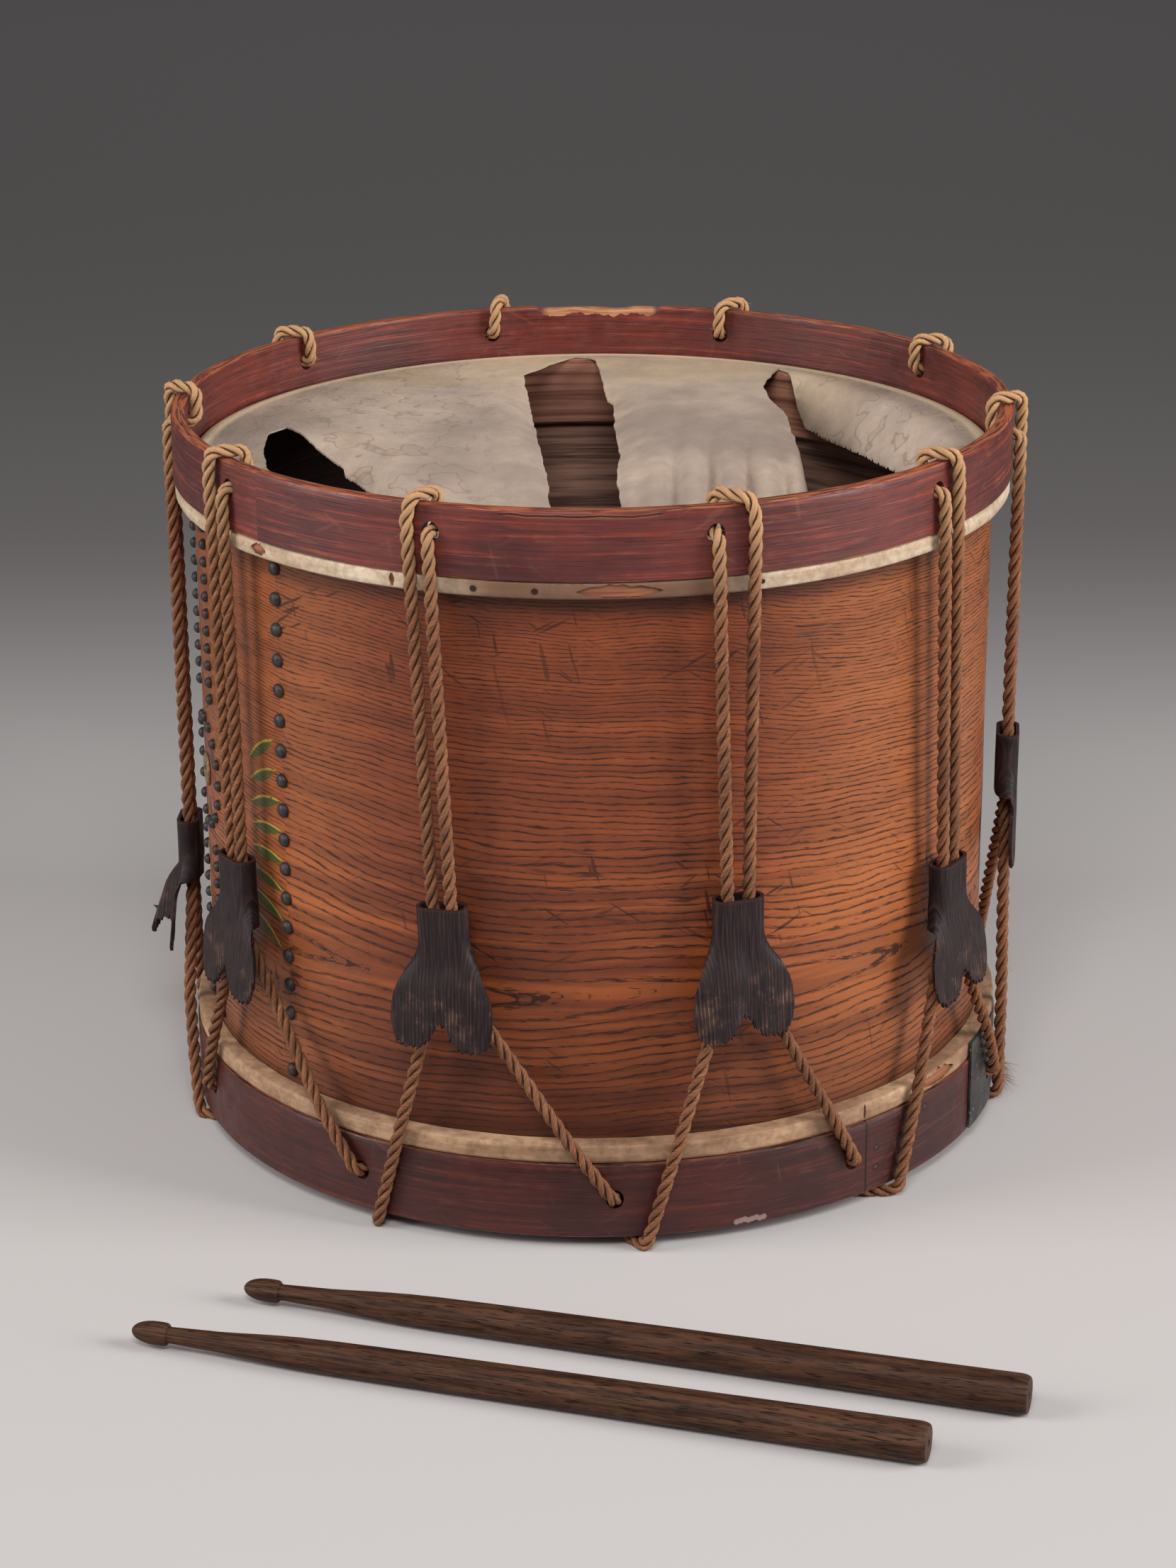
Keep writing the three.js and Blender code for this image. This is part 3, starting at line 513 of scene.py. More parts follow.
# Painted shade: the inner wood and the glue ring are darkened at the left of the back, which the light
# hardly reaches.
inner_shade_group, entry = new_group("painted_inner_shade", {"Turn": "Float"}, {"Mask": "Float"})
put_out(inner_shade_group, {"Mask": span(entry["Turn"], -2.72, -2.5) * span(entry["Turn"], -1.5, -1.7) * 0.9})


def painted_inner_shade(wrapped):
    """Painted shade on the wood inside, at the left of the back, where little light comes in through the
    tears.
    """
    return use_group(inner_shade_group, {"Turn": wrapped["Turn"]})["Mask"]


inner_oak_finish, tree = finish("weathered_inner_oak")
wrapped = round_drum(tree)
grain = grained(wrapped["Sheet"], 9, 260, 1, roughness=0.65)
broad, _ = grimed(wrapped["Sheet"], 9.0)
inner_wood = mixed(span(grain, 0.32, 0.62), (82, 58, 49), (158, 118, 100))
inner_wood = mixed(broad * 0.5, inner_wood, (70, 48, 41))
inner_wood = mixed(painted_inner_shade(wrapped), inner_wood, (22, 16, 15))
dress(tree, inner_wood, span(grain, 0.2, 0.8, 0.7, 0.9), grain, 0.0006)

shell_inside = shell_radius - shell_wall
shell_profile = (
    stretch_of((shell_inside, shell_bottom), (shell_inside, shell_top), 24)
    + [(shell_inside, shell_top), (shell_radius - bearing_round, shell_top)]
    + stretch_of((shell_radius, shell_top - bearing_round), (shell_radius, shell_bottom + bearing_round), 48)
    + [(shell_radius, shell_bottom + bearing_round), (shell_radius - bearing_round, shell_bottom)]
)
shell = new_object("shell_board", spun(shell_profile))
drill = bmesh.new()
drilled(drill, side_place(shell_radius - shell_wall / 2, vent_angle, vent_level),
        vent_hole_radius, vent_hole_radius, 4 * shell_wall)
carved(shell, drill)
dent_depth = 0.00035
plain_margin = 0.03
for vertex in shell.data.vertices:
    reach = Vector((vertex.co.x - drum_x, vertex.co.y - drum_y, 0))
    between_hoops = shell_bottom + plain_margin < vertex.co.z < shell_top - plain_margin
    if reach.length > shell_radius - 0.001 and between_hoops:
        vertex.co += reach.normalized() * dent_depth * noise.fractal(vertex.co * 16, 1.0, 2.0, 3)
completed(shell, "drum", "shell_wood", oak_finish, inner_oak_finish, replaced=("shell",))
for face in shell.data.polygons:
    reach = math.hypot(face.center.x - drum_x, face.center.y - drum_y)
    face.material_index = 1 if reach < shell_inside + 0.001 else 0

# Glue rings
# Two bands of reddish-brown wood, bent and glued inside the shell's ends to stiffen its edges.
# The upper one shows through the tears in the batter skin.
ring_wall = 0.0055
ring_edge = 0.0015

ring_finish, tree = finish("glue_ring_wood", Roughness=0.62)
wrapped = round_drum(tree)
grain = grained(wrapped["Sheet"], 7, 300, 120)
broad, _ = grimed(wrapped["Sheet"], 12.0)
ring_wood = mixed(span(grain, 0.3, 0.64), (112, 68, 56), (190, 132, 108))
ring_wood = mixed(broad * 0.5, ring_wood, (88, 54, 45))
ring_wood = mixed(painted_inner_shade(wrapped), ring_wood, (24, 17, 15))
dress(tree, ring_wood, None, grain, 0.0004)

for name in ("upper_glue_ring", "lower_glue_ring"):
    low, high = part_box(name)
    ring_outside = (high[1] - low[1]) / 2
    ring_inside = ring_outside - ring_wall
    ring_profile = (
        [(ring_inside, low[2] + ring_edge), (ring_inside + ring_edge, low[2]), (ring_outside, low[2])]
        + [(ring_outside, high[2]), (ring_inside + ring_edge, high[2])]
        + stretch_of((ring_inside, high[2] - ring_edge), (ring_inside, low[2] + ring_edge), 6)
    )
    completed(new_object(name + "_band", spun(ring_profile, steps=200)), "drum", "ring_wood", ring_finish,
              replaced=(name,))

# Vent bushing
# A small turned ring of pale boxwood, pressed into the hole that lets the air out of the shell.
vent_bore = 0.004
vent_bush_wall = 0.0018
vent_flange = 0.0032
vent_flange_thickness = 0.0014

boxwood_finish, tree = finish("turned_boxwood", Roughness=0.5)
rings = spots(object_place(tree), 420, 3.0)
dress(tree, mixed(span(rings, 0.35, 0.7), (132, 108, 78), (92, 68, 46)), None, rings, 0.0002)

bush_inside = vent_bore
bush_outside = vent_bore + vent_bush_wall
bush_profile = [
    (bush_inside, -shell_wall), (bush_outside, -shell_wall), (bush_outside, fit),
    (bush_outside + vent_flange, fit), (bush_outside + vent_flange, fit + vent_flange_thickness * 0.4),
    (bush_outside + vent_flange * 0.8, fit + vent_flange_thickness * 0.85),
    (bush_outside + vent_flange * 0.4, fit + vent_flange_thickness),
    (bush_inside + vent_bush_wall * 0.4, fit + vent_flange_thickness),
    (bush_inside, fit + vent_flange_thickness * 0.6),
]
bm = spun(bush_profile, steps=40, centre=(0, 0))
place = side_place(shell_radius, vent_angle, vent_level) @ upright_to_out
bmesh.ops.transform(bm, matrix=place, verts=bm.verts)
completed(new_object("vent_ring", bm), "drum", "vent_boxwood", boxwood_finish, replaced=("vent_bushing",))

# Flesh hoops
# Two thin ash hoops, one at each end, that the wet skins are lapped round and dry on.
# They show only where the lapped skin is torn or worn through.
ash_finish, tree = finish("bare_ash", Roughness=0.65)
grain = grained(round_drum(tree)["Sheet"], 12, 420, 200)
dress(tree, mixed(span(grain, 0.3, 0.66), (92, 50, 34), (156, 100, 70)), None, grain, 0.0004)

flesh_width = 0.0062
for name in ("upper_flesh_hoop", "lower_flesh_hoop"):
    low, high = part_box(name)
    flesh_outside = (high[1] - low[1]) / 2
    flesh_inside = flesh_outside - flesh_width
    flesh_profile = [(flesh_inside, low[2]), (flesh_outside, low[2])]
    flesh_profile += stretch_of((flesh_outside, low[2] + fit), (flesh_outside, high[2]), 4)
    flesh_profile += [(flesh_outside, high[2]), (flesh_inside, high[2])]
    completed(new_object(name + "_ring", spun(flesh_profile)), "drum", "flesh_hoop_wood", ash_finish,
              replaced=(name,))

# Batter skin and its lap
# A calfskin, lapped wet round its flesh hoop and dried tight over the shell's edge, now torn open.
# Three long tongues hang in the shell, torn off in front; the lap round the hoop is cream and worn through.
skin_thickness = 0.001
batter_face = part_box("batter_head")[1][2]
hoop_bottom = hoop_low[2]
upper_flesh_low, upper_flesh_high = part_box("upper_flesh_hoop")
flesh_outside = (upper_flesh_high[1] - upper_flesh_low[1]) / 2
collar_inside = shell_radius + fit
lap_outside = flesh_outside + fit + skin_thickness
tuck_end = flesh_outside - 0.75 * flesh_width

skin_finish, tree = finish("old_calfskin")
place = object_place(tree)
broad, fine = grimed(place, 11.0)
east = axis(place, "X") - drum_x
back = (axis(place, "Y") - drum_y) / shell_radius
hide = mixed(broad, (194, 172, 154), (158, 140, 128))
yellow = span(back, 0.35, 0.95) * span(spots(place, 17, 3.0), 0.36, 0.6)
hide = mixed(yellow * 0.6, hide, (208, 182, 140))
stained = largest(span(east, -0.02, -0.09), span(east, 0.10, 0.13))
stain_field = spots(place, 5.0, 5.0, 0.66)
for level, width in ((0.44, 0.006), (0.5, 0.004), (0.56, 0.006)):
    outline = span(abs(stain_field - level), 0.0, width, 0.5, 0.0) * stained
    hide = mixed(outline, hide, (126, 102, 80))
hide = mixed(span(stain_field, 0.55, 0.58) * stained * 0.22, hide, (166, 140, 108))
grey_edge = span(east, -0.09, -0.18) * span(spots(place, 15, 4.0), 0.38, 0.6)
hide = mixed(grey_edge * 0.5, hide, (134, 124, 102))
hide = mixed(fine * 0.25, hide, (132, 114, 102))
share_out = length_of(east / shell_radius, back)
hide = mixed(span(share_out, 0.955, 0.975, 0, 0.75), hide, (222, 200, 164))
folds = spots(stretched(place, 1, 0.4, 1), 55, 4.0, 0.6)
relief = spots(place, 700) * 0.15 + folds
dress(tree, hide, span(fine, 0, 1, 0.5, 0.68), relief, 0.0012)

# Each tear's outline, in shares of the shell's radius: across to the right, and back from the middle.
left_tear = [
    (-0.782, 0.204), (-0.739, 0.15), (-0.694, 0.074), (-0.633, 0.012), (-0.542, -0.108), (-0.5, -0.2),
    (-0.45, -0.36), (-0.42, -0.6), (-0.43, -0.78), (-0.63, -0.62), (-0.74, -0.42), (-0.8, -0.2),
    (-0.819, -0.06), (-0.827, 0.079), (-0.821, 0.153),
]
middle_tear = [
    (-0.184, 0.756), (-0.108, 0.881), (-0.046, 0.958), (-0.007, 0.95), (0.013, 0.91), (0.03, 0.681),
    (0.04, 0.589), (0.057, 0.567), (0.06, 0.319), (0.07, 0.126), (0.061, -0.043), (0.07, -0.165),
    (0.053, -0.4), (0.06, -0.82), (-0.13, -0.82), (-0.1, -0.6), (-0.1, -0.4), (-0.107, -0.162),
    (-0.117, -0.009), (-0.141, 0.21), (-0.163, 0.517),
]
right_tear = [
    (0.455, 0.614), (0.483, 0.733), (0.507, 0.8), (0.529, 0.77), (0.55, 0.69), (0.578, 0.615),
    (0.617, 0.52), (0.709, 0.331), (0.771, 0.187), (0.82, 0.05), (0.83, -0.1), (0.79, -0.32),
    (0.66, -0.55), (0.5, -0.71), (0.53, -0.5), (0.55, -0.3), (0.551, -0.08), (0.542, 0.013),
    (0.523, 0.195), (0.504, 0.396), (0.472, 0.505),
]
front_tear = [
    (-0.5, -0.66), (-0.25, -0.79), (0.0, -0.83), (0.28, -0.79), (0.55, -0.63),
    (0.53, -0.4), (0.47, -0.48), (0.28, -0.61), (0.0, -0.68), (-0.25, -0.62), (-0.44, -0.5),
]
tear_step = 0.0022
tear_roughness = 0.0009


def ease(start, end, value):
    share = min(max((value - start) / (end - start), 0), 1)
    return share * share * (3 - 2 * share)


def ragged(outline):
    """The outline in metres about the drum's axis, with many small points pulled in and out."""
    points = []
    for start, end in zip(outline, outline[1:] + outline[:1]):
        start, end = Vector(start) * shell_radius, Vector(end) * shell_radius
        side = (end - start).orthogonal().normalized()
        count = max(1, round((end - start).length / tear_step))
        for i in range(count):
            spot = start.lerp(end, i / count)
            pull = noise.noise(Vector((spot.x, spot.y, 0)) * 90)
            pull += 0.6 * noise.noise(Vector((spot.x, spot.y, 1)) * 320)
            points.append(spot + side * pull * tear_roughness)
    return points


tear_points = [ragged(outline) for outline in (left_tear, middle_tear, right_tear, front_tear)]
torn_edges = kdtree.KDTree(sum(len(points) for points in tear_points))
for index, spot in enumerate(point for points in tear_points for point in points):
    torn_edges.insert(Vector((spot.x, spot.y, 0)), index)
torn_edges.balance()

# How the torn skin hangs, in shares of the shell's radius.
deepest_sag = 0.2
fold_pitch, fold_depth = 0.092, 0.037
edge_curl, curl_width = 0.035, 0.085
edge_roll, roll_width = 0.12, 0.15


def sag_at(x, y):
    """How far the torn skin hangs below the sound skin, x and y in metres from the axis."""
    across, back = x / shell_radius, y / shell_radius
    out = math.hypot(across, back)
    towards_front = ease(0.72, -0.74, back)
    loose = ease(0.8, 0.72 if back < 0 else 0.54, out)
    middle_tongue = ease(0.02, 0.2, across) * ease(0.6, 0.45, across)
    wave = math.sin(full_turn * (across - 0.05 * back + 0.006 * math.sin(9 * back)) / fold_pitch)
    depth = fold_depth * ease(0.6, -0.45, back) * (0.45 + 0.55 * ease(0.1, 0.34, across))
    fold = depth * middle_tongue * (wave + 0.25 * (2 * wave * wave - 1))
    fold += 0.007 * math.sin(full_turn * (across + 0.3 * back) / 0.41)
    drop = loose * towards_front * (deepest_sag * towards_front + fold)
    from_tear = torn_edges.find(Vector((x, y, 0)))[2] / shell_radius
    rolled = ease(0.52, 0.56, across) * ease(-0.45, -0.2, back)
    curl = max(0.0, 1 - from_tear / curl_width) ** 2
    curl *= edge_curl * loose * (1 - towards_front * 0.4) * (1 - rolled)
    curl += edge_roll * rolled * max(0.0, 1 - from_tear / roll_width) ** 2.2 * ease(0.94, 0.84, out)
    ripple = 0.004 * noise.fractal(Vector((across, back, 0)) * 4.5, 1.0, 2.0, 4)
    return shell_radius * (drop + curl + ripple * ease(0.98, 0.8, out))


skin_rings = 96
skin_steps = 300
tear_cut_depth = 0.02
face_inner = shell_radius - bearing_round - 0.001
skin_profile = stretch_of((0, batter_face), (face_inner, batter_face), skin_rings)
skin_profile += [
    (face_inner, batter_face), (collar_inside, batter_face - 0.8 * skin_thickness),
    (collar_inside + 0.7 * skin_thickness, batter_face - 1.7 * skin_thickness),
    (collar_inside, batter_face - 2 * skin_thickness),
]
under_face = batter_face - skin_thickness
skin_profile += stretch_of((face_inner, under_face), (0, under_face), skin_rings) + [(0, under_face)]
batter = new_object("batter_skin", spun(skin_profile, skin_steps))
for points in tear_points:
    cutter = bmesh.new()
    top = batter_face + tear_cut_depth / 2
    outline = [cutter.verts.new((drum_x + spot.x, drum_y + spot.y, top)) for spot in points]
    base = cutter.faces.new(outline)
    wall = bmesh.ops.extrude_face_region(cutter, geom=[base])
    lower = [item for item in wall["geom"] if isinstance(item, bmesh.types.BMVert)]
    bmesh.ops.translate(cutter, verts=lower, vec=(0, 0, -tear_cut_depth))
    bmesh.ops.recalc_face_normals(cutter, faces=cutter.faces)
    carved(batter, cutter)
for vertex in batter.data.vertices:
    vertex.co.z -= sag_at(vertex.co.x - drum_x, vertex.co.y - drum_y)
completed(batter, "drum", "skin", skin_finish, sharp=50)

lap_group, entry = new_group(
    "lapped_hide",
    {"Sheet": "Vector", "Scale": "Float", "Pale": "Color", "Streak": "Color", "Stain": "Color",
     "Stain Share": "Float", "Dirt": "Color", "Dirt Share": "Float"},
    {"Colour": "Color", "Fine": "Float", "Streaks": "Float"})
broad, fine = grimed(entry["Sheet"], entry["Scale"])
streaks = grained(entry["Sheet"], 22, 160, 60)
lap = mixed(span(streaks, 0.3, 0.7), entry["Pale"], entry["Streak"])
lap = mixed(broad * entry["Stain Share"], lap, entry["Stain"])
lap = mixed(fine * entry["Dirt Share"], lap, entry["Dirt"])
put_out(lap_group, {"Colour": lap, "Fine": fine, "Streaks": streaks})


def lapped_hide(wrapped, scale, pale, streak, stain, stain_share, dirt, dirt_share):
    """The colour of a lapped skin, with its fine dirt and its streaks."""
    made = use_group(lap_group, {
        "Sheet": wrapped["Sheet"], "Scale": scale, "Pale": linear(*pale), "Streak": linear(*streak),
        "Stain": linear(*stain), "Stain Share": stain_share,
        "Dirt": linear(*dirt), "Dirt Share": dirt_share})
    return made["Colour"], made["Fine"], made["Streaks"]


lap_finish, tree = finish("lapped_skin")
wrapped = round_drum(tree)
lap, fine, streaks = lapped_hide(
    wrapped, 26.0, (222, 204, 178), (188, 164, 136), (160, 126, 96), 0.5, (112, 84, 64), 0.35)
lap = mixed(span(abs(wrapped["Turn"] - 0.02), 0.45, 0.2, 0, 0.92), lap, (104, 70, 53))
nails = marks(wrapped, [(-15.2, 0.3450, 0.0021), (-7.4, 0.3450, 0.0021), (-26.2, 0.3462, 0.0016),
                        (21.5, 0.3452, 0.0015), (57.0, 0.3455, 0.0018)])
lap = mixed(nails, lap, (48, 26, 20))
dress(tree, lap, span(fine, 0, 1, 0.42, 0.62), streaks, 0.0007)


def lap_profile(face, near, far, way):
    """The lapped skin's section: from its face along the shell, round the flesh hoop and tucked in."""
    thick = way * skin_thickness
    outer = lap_outside
    return [
        (collar_inside, face), (collar_inside, far), (outer - 0.0012, far),
        (outer - 0.0004, far - thick * 0.5), (outer, far - thick * 1.3), (outer, far - thick * 3),
        (outer, (near + far) / 2), (outer, near + thick * 2), (outer - 0.0005, near + thick * 0.4),
        (outer - 0.0015, near), (tuck_end, near), (tuck_end, near + thick),
        (outer - skin_thickness, near + thick), (outer - skin_thickness, far - thick),
        (collar_inside + skin_thickness, far - thick), (collar_inside + skin_thickness, face),
    ]


lap_steps = 360
upper_near = hoop_bottom - fit
upper_far = upper_flesh_low[2] - fit - skin_thickness
lap_start = batter_face - 3 * skin_thickness
upper_lap = new_object("batter_skin_lap", spun(lap_profile(lap_start, upper_near, upper_far, -1), lap_steps))
lens_steps = 34


def worn_hole(cutter, start, end, level, height, seed):
    """Adds a ragged lens, from one angle to another, to what cuts through a lap's outer wall."""
    rows = []
    for side in (1, -1):
        row = []
        for i in range(lens_steps + 1):
            share = i / lens_steps
            swell = math.sin(math.pi * share) ** 0.7
            shake = noise.noise(Vector((share * 9, seed, side))) * 0.4 + 1
            angle = math.radians(start + (end - start) * share)
            row.append((angle, level + side * height / 2 * swell * shake))
        rows.append(row)
    outline = rows[0] + rows[1][-2:0:-1]
    inner = [cutter.verts.new(around(flesh_outside + fit / 2, angle, z)) for angle, z in outline]
    outer = [cutter.verts.new(around(lap_outside + 0.002, angle, z)) for angle, z in outline]
    half = len(outline) // 2
    for i in range(len(outline)):
        j = (i + 1) % len(outline)
        cutter.faces.new((inner[i], inner[j], outer[j], outer[i]))
    for ring in (inner, outer):
        cutter.faces.new((ring[0], ring[1], ring[-1]))
        for i in range(1, half - 1):
            cutter.faces.new((ring[i], ring[i + 1], ring[-i - 1], ring[-i]))
        cutter.faces.new((ring[half - 1], ring[half], ring[half + 1]))


def worn_through(piece, holes):
    """Cuts ragged lenses, each (start, end, level, height, seed), through a lap."""
    cutter = bmesh.new()
    for hole in holes:
        worn_hole(cutter, *hole)
    bmesh.ops.recalc_face_normals(cutter, faces=cutter.faces)
    carved(piece, cutter)


def rumpled(piece, far_level):
    """Moves the lap's outer face and its edge over the shell a little, as dried skin lies."""
    for vertex in piece.data.vertices:
        reach = Vector((vertex.co.x - drum_x, vertex.co.y - drum_y, 0))
        if reach.length > flesh_outside + fit + 0.0002:
            vertex.co += reach.normalized() * abs(noise.fractal(vertex.co * 60, 1.0, 2.0, 3)) * 0.0005
        elif abs(vertex.co.z - far_level) < 0.0015 and reach.length < collar_inside + 0.004:
            vertex.co.z += noise.fractal(vertex.co * 30, 1.0, 2.0, 3) * 0.0006


upper_middle = (upper_near + upper_far) / 2
worn_through(upper_lap, [
    (-2.3, 8.6, upper_middle - 0.0002, 0.0064, 1.3), (-50.4, -47.2, upper_middle, 0.0070, 2.7),
    (-26.6, -25.8, upper_middle, 0.0066, 3.1)])
rumpled(upper_lap, upper_far)
completed(upper_lap, "drum", "skin", lap_finish, sharp=60, replaced=("batter_head",))

# Snare skin and its lap
# The lower calfskin, lapped the same way; its lap stands on the lower hoop, darker and more worn.
snare_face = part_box("snare_head")[0][2]
lower_flesh_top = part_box("lower_flesh_hoop")[1][2]
lower_hoop_low, lower_hoop_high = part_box("lower_counter_hoop")
lower_near = lower_hoop_high[2] + fit
lower_far = lower_flesh_top + fit + skin_thickness

snare_disc = spun([(0, snare_face), (collar_inside + skin_thickness, snare_face),
                   (collar_inside + skin_thickness, snare_face + skin_thickness),
                   (0, snare_face + skin_thickness)], steps=160)
completed(new_object("snare_skin", snare_disc), "drum", "skin", skin_finish)

low_lap_finish, tree = finish("worn_lapped_skin")
lap, fine, streaks = lapped_hide(
    round_drum(tree), 20.0, (194, 158, 124), (154, 118, 90), (118, 86, 66), 0.6, (86, 58, 42), 0.4)
dress(tree, lap, span(fine, 0, 1, 0.45, 0.65), streaks, 0.0008)

lower_start = snare_face + skin_thickness + fit
lower_lap = new_object("snare_skin_lap", spun(lap_profile(lower_start, lower_near, lower_far, 1), lap_steps))
lower_middle = (lower_near + lower_far) / 2
worn_through(lower_lap, [(50.2, 58.8, lower_middle, 0.0086, 5.2), (38.4, 38.9, lower_middle, 0.0090, 4.2)])
rumpled(lower_lap, lower_far)
completed(lower_lap, "drum", "skin", low_lap_finish, sharp=60, replaced=("snare_head",))

# Counter hoops
# Two bent oak hoops, painted dark red, which the rope draws towards each other to tighten both skins.
# Each has a rope hole in every bay; edges are worn to the wood, and the upper hoop's are splintered.
hoop_wall = 0.0075
hoop_edge = 0.0012
hoop_inside = hoop_radius - hoop_wall
rope_hole_width = 0.009
rope_hole_height = 0.0102
lower_hoop_bottom = lower_hoop_low[2]
upper_hole_drop = 0.0135
lower_hole_rise = 0.021
upper_hole_level = rim - upper_hole_drop
lower_hole_level = lower_hoop_bottom + lower_hole_rise
gut_radius = 0.0008
gut_level = snare_face - fit - gut_radius
gate_width = 0.0186
gate_height = 0.005
butt_angle = math.radians(66.8)

bay_count = 10
bay_angle = full_turn / bay_count
first_top_angle = math.radians(-22)
first_foot_angle = math.radians(4)
top_shares = [0.01, 0.09, 0.04, -0.07, -0.05, 0.01, 0.01, 0, 0.03, 0.05]
top_gap_shares = [0.056, 0.112, 0.066, 0.066, 0.066, 0.066, 0.066, 0.066, 0.066, 0.072]
top_hole_on_left = [False, True, True, True, False, False, False, True, False, False]
foot_left_shares = [-0.05, -0.1, -0.1, -0.08, -0.06, -0.05, -0.06, 0.005, -0.18, -0.035]
foot_right_shares = [0.06, 0.11, 0.07, 0.07, 0.06, 0.08, 0.06, 0.115, -0.03, 0.05]
foot_hole_on_left = [True, True, True, True, True, True, True, True, False, True]

rope_diameter = 0.0066
rope_radius = rope_diameter / 2
rope_slack = 0.0007
foot_level = lower_hoop_bottom - rope_slack - rope_radius
over_level = rim + rope_slack + rope_radius


def top_anchor(i):
    """Left and right crossings of the upper hoop as (angle, level, is a hole)."""
    middle = first_top_angle + bay_angle * (i + top_shares[i])
    half_gap = top_gap_shares[i] * bay_angle / 2
    hole, over = (upper_hole_level, True), (over_level, False)
    left, right = (hole, over) if top_hole_on_left[i] else (over, hole)
    return (middle - half_gap, *left), (middle + half_gap, *right)


def foot_anchor(i):
    """Left and right crossings of the lower hoop as (angle, level, is a hole)."""
    hole, under = (lower_hole_level, True), (foot_level, False)
    left, right = (hole, under) if foot_hole_on_left[i] else (under, hole)
    return ((first_foot_angle + bay_angle * (i + foot_left_shares[i]), *left),
            (first_foot_angle + bay_angle * (i + foot_right_shares[i]), *right))


def hoop_holes(anchor_of):
    """What cuts the rope holes of a hoop, one in each bay."""
    cutter = bmesh.new()
    for i in range(bay_count):
        angle, level = next(crossing[:2] for crossing in anchor_of(i) if crossing[2])
        drilled(cutter, side_place(hoop_radius - hoop_wall / 2, angle, level),
                rope_hole_width / 2, rope_hole_height / 2, 4 * hoop_wall)
    return cutter


def hoop_profile(bottom, top):
    """A hoop's section, with its upper edges rounded."""
    inside, outside = hoop_inside, hoop_radius
    soft = hoop_edge * 0.35
    return (
        [(inside + soft, bottom), (outside - soft, bottom)]
        + stretch_of((outside, bottom + soft), (outside, top - hoop_edge), 10)
        + [(outside, top - hoop_edge), (outside - hoop_edge * 0.35, top - hoop_edge * 0.3)]
        + [(outside - hoop_edge, top), (inside + hoop_edge, top)]
        + [(inside + hoop_edge * 0.35, top - hoop_edge * 0.3), (inside, top - hoop_edge)]
        + stretch_of((inside, top - hoop_edge * 1.5), (inside, bottom + soft), 6)
        + [(inside, bottom + soft)]
    )


paint_colours = ("Paint", "Dark Paint", "Streak", "Bright", "Worn Thin", "Bare")
paint_group, entry = new_group(
    "worn_paint",
    {"Sheet": "Vector", "Level": "Float", "Bottom": "Float", "Top": "Float",
     **dict.fromkeys(paint_colours, "Color")},
    {"Colour": "Color", "Relief": "Float", "Fine Grain": "Float", "Grime": "Float"})
sheet, level, bottom, top = (entry[name] for name in ("Sheet", "Level", "Bottom", "Top"))
grain = grained(sheet, 12, 420, 160, roughness=0.62)
fine_grain = grained(sheet, 48, 1500, 600, 2.0)
broad, fine = grimed(sheet, 13.0)
coat = mixed(broad, entry["Paint"], entry["Dark Paint"])
coat = mixed(span(grain, 0.5, 0.68, 0, 0.45), coat, entry["Streak"])
coat = mixed(span(fine_grain, 0.56, 0.66, 0, 0.7), coat, entry["Streak"])
coat = mixed(span(grain, 0.46, 0.34, 0, 0.5), coat, entry["Bright"])
rubbed = span(grain, 0.5, 0.36) * span(fine, 0.4, 0.9)
coat = mixed(rubbed * 0.14, coat, entry["Worn Thin"])
edges = largest(span(level - top, -0.0020, -0.0004), span(level - bottom, 0.0016, 0.0003))
chipped = span(edges * 0.5 + fine_grain, 0.9, 1.06) * edges
coat = mixed(chipped * 0.85, coat, entry["Worn Thin"])
coat = mixed(scratches(sheet, 0.16) * 0.5, coat, entry["Bare"])
relief = grain * 0.6 + fine_grain * 0.3 - chipped * 0.7
put_out(paint_group, {"Colour": coat, "Relief": relief, "Fine Grain": fine_grain, "Grime": fine})


def painted_hoop_finish(name, bottom, top, colours, own_marks):
    """Worn paint on a hoop, in the group's six colours, and the marks that only this hoop has."""
    made, tree = finish(name, Specular_IOR_Level=0.45)
    wrapped = round_drum(tree)
    sockets = {"Sheet": wrapped["Sheet"], "Level": wrapped["Level"], "Bottom": bottom, "Top": top}
    sockets.update((label, linear(*colour)) for label, colour in zip(paint_colours, colours))
    paint = use_group(paint_group, sockets)
    coat, relief = own_marks(wrapped, paint["Colour"], paint["Relief"], paint["Fine Grain"])
    dress(tree, coat, paint["Grime"] * 0.2 + 0.38, relief, 0.0004)
    return made


hoop_steps = 288
upper_hoop = new_object("upper_hoop", spun(hoop_profile(hoop_bottom, rim), hoop_steps))
carved(upper_hoop, hoop_holes(top_anchor))
broken_start, broken_end = math.radians(218) * shell_radius, math.radians(236.5) * shell_radius


def upper_marks(wrapped, coat, relief, fine_grain):
    """A split under the front's top edge, and a stretch at the back whose edge is broken to bare wood."""
    sheet, level, arc = wrapped["Sheet"], wrapped["Level"], wrapped["Arc"]
    wander = (spots(sheet, 55, 3.0) - 0.5) * 0.0035
    from_split = abs(level + wander - (rim - 0.0026))
    from_front = abs(wrapped["Turn"] + 0.03)
    split = span(from_split, 0.00055, 0.0002) * span(from_front, 0.185, 0.17)
    lifted = span(from_split, 0.0016, 0.0006, 0, 0.6) * span(from_front, 0.185, 0.15)
    coat = mixed(lifted, coat, (150, 84, 52))
    coat = mixed(split, coat, (30, 14, 12))
    stretch = span(arc, broken_start, broken_start + 0.004) * span(arc, broken_end, broken_end - 0.006)
    jagged = (spots(stretched(sheet, 1, 0.3, 0.3), 120, 4.0) - 0.5) * 0.010
    bare = stretch * span(level + jagged, rim - 0.0048, rim - 0.0042)
    bare_wood = mixed(span(fine_grain, 0.35, 0.65), (196, 138, 96), (150, 92, 60))
    return mixed(bare, coat, bare_wood), relief - (bare + split)


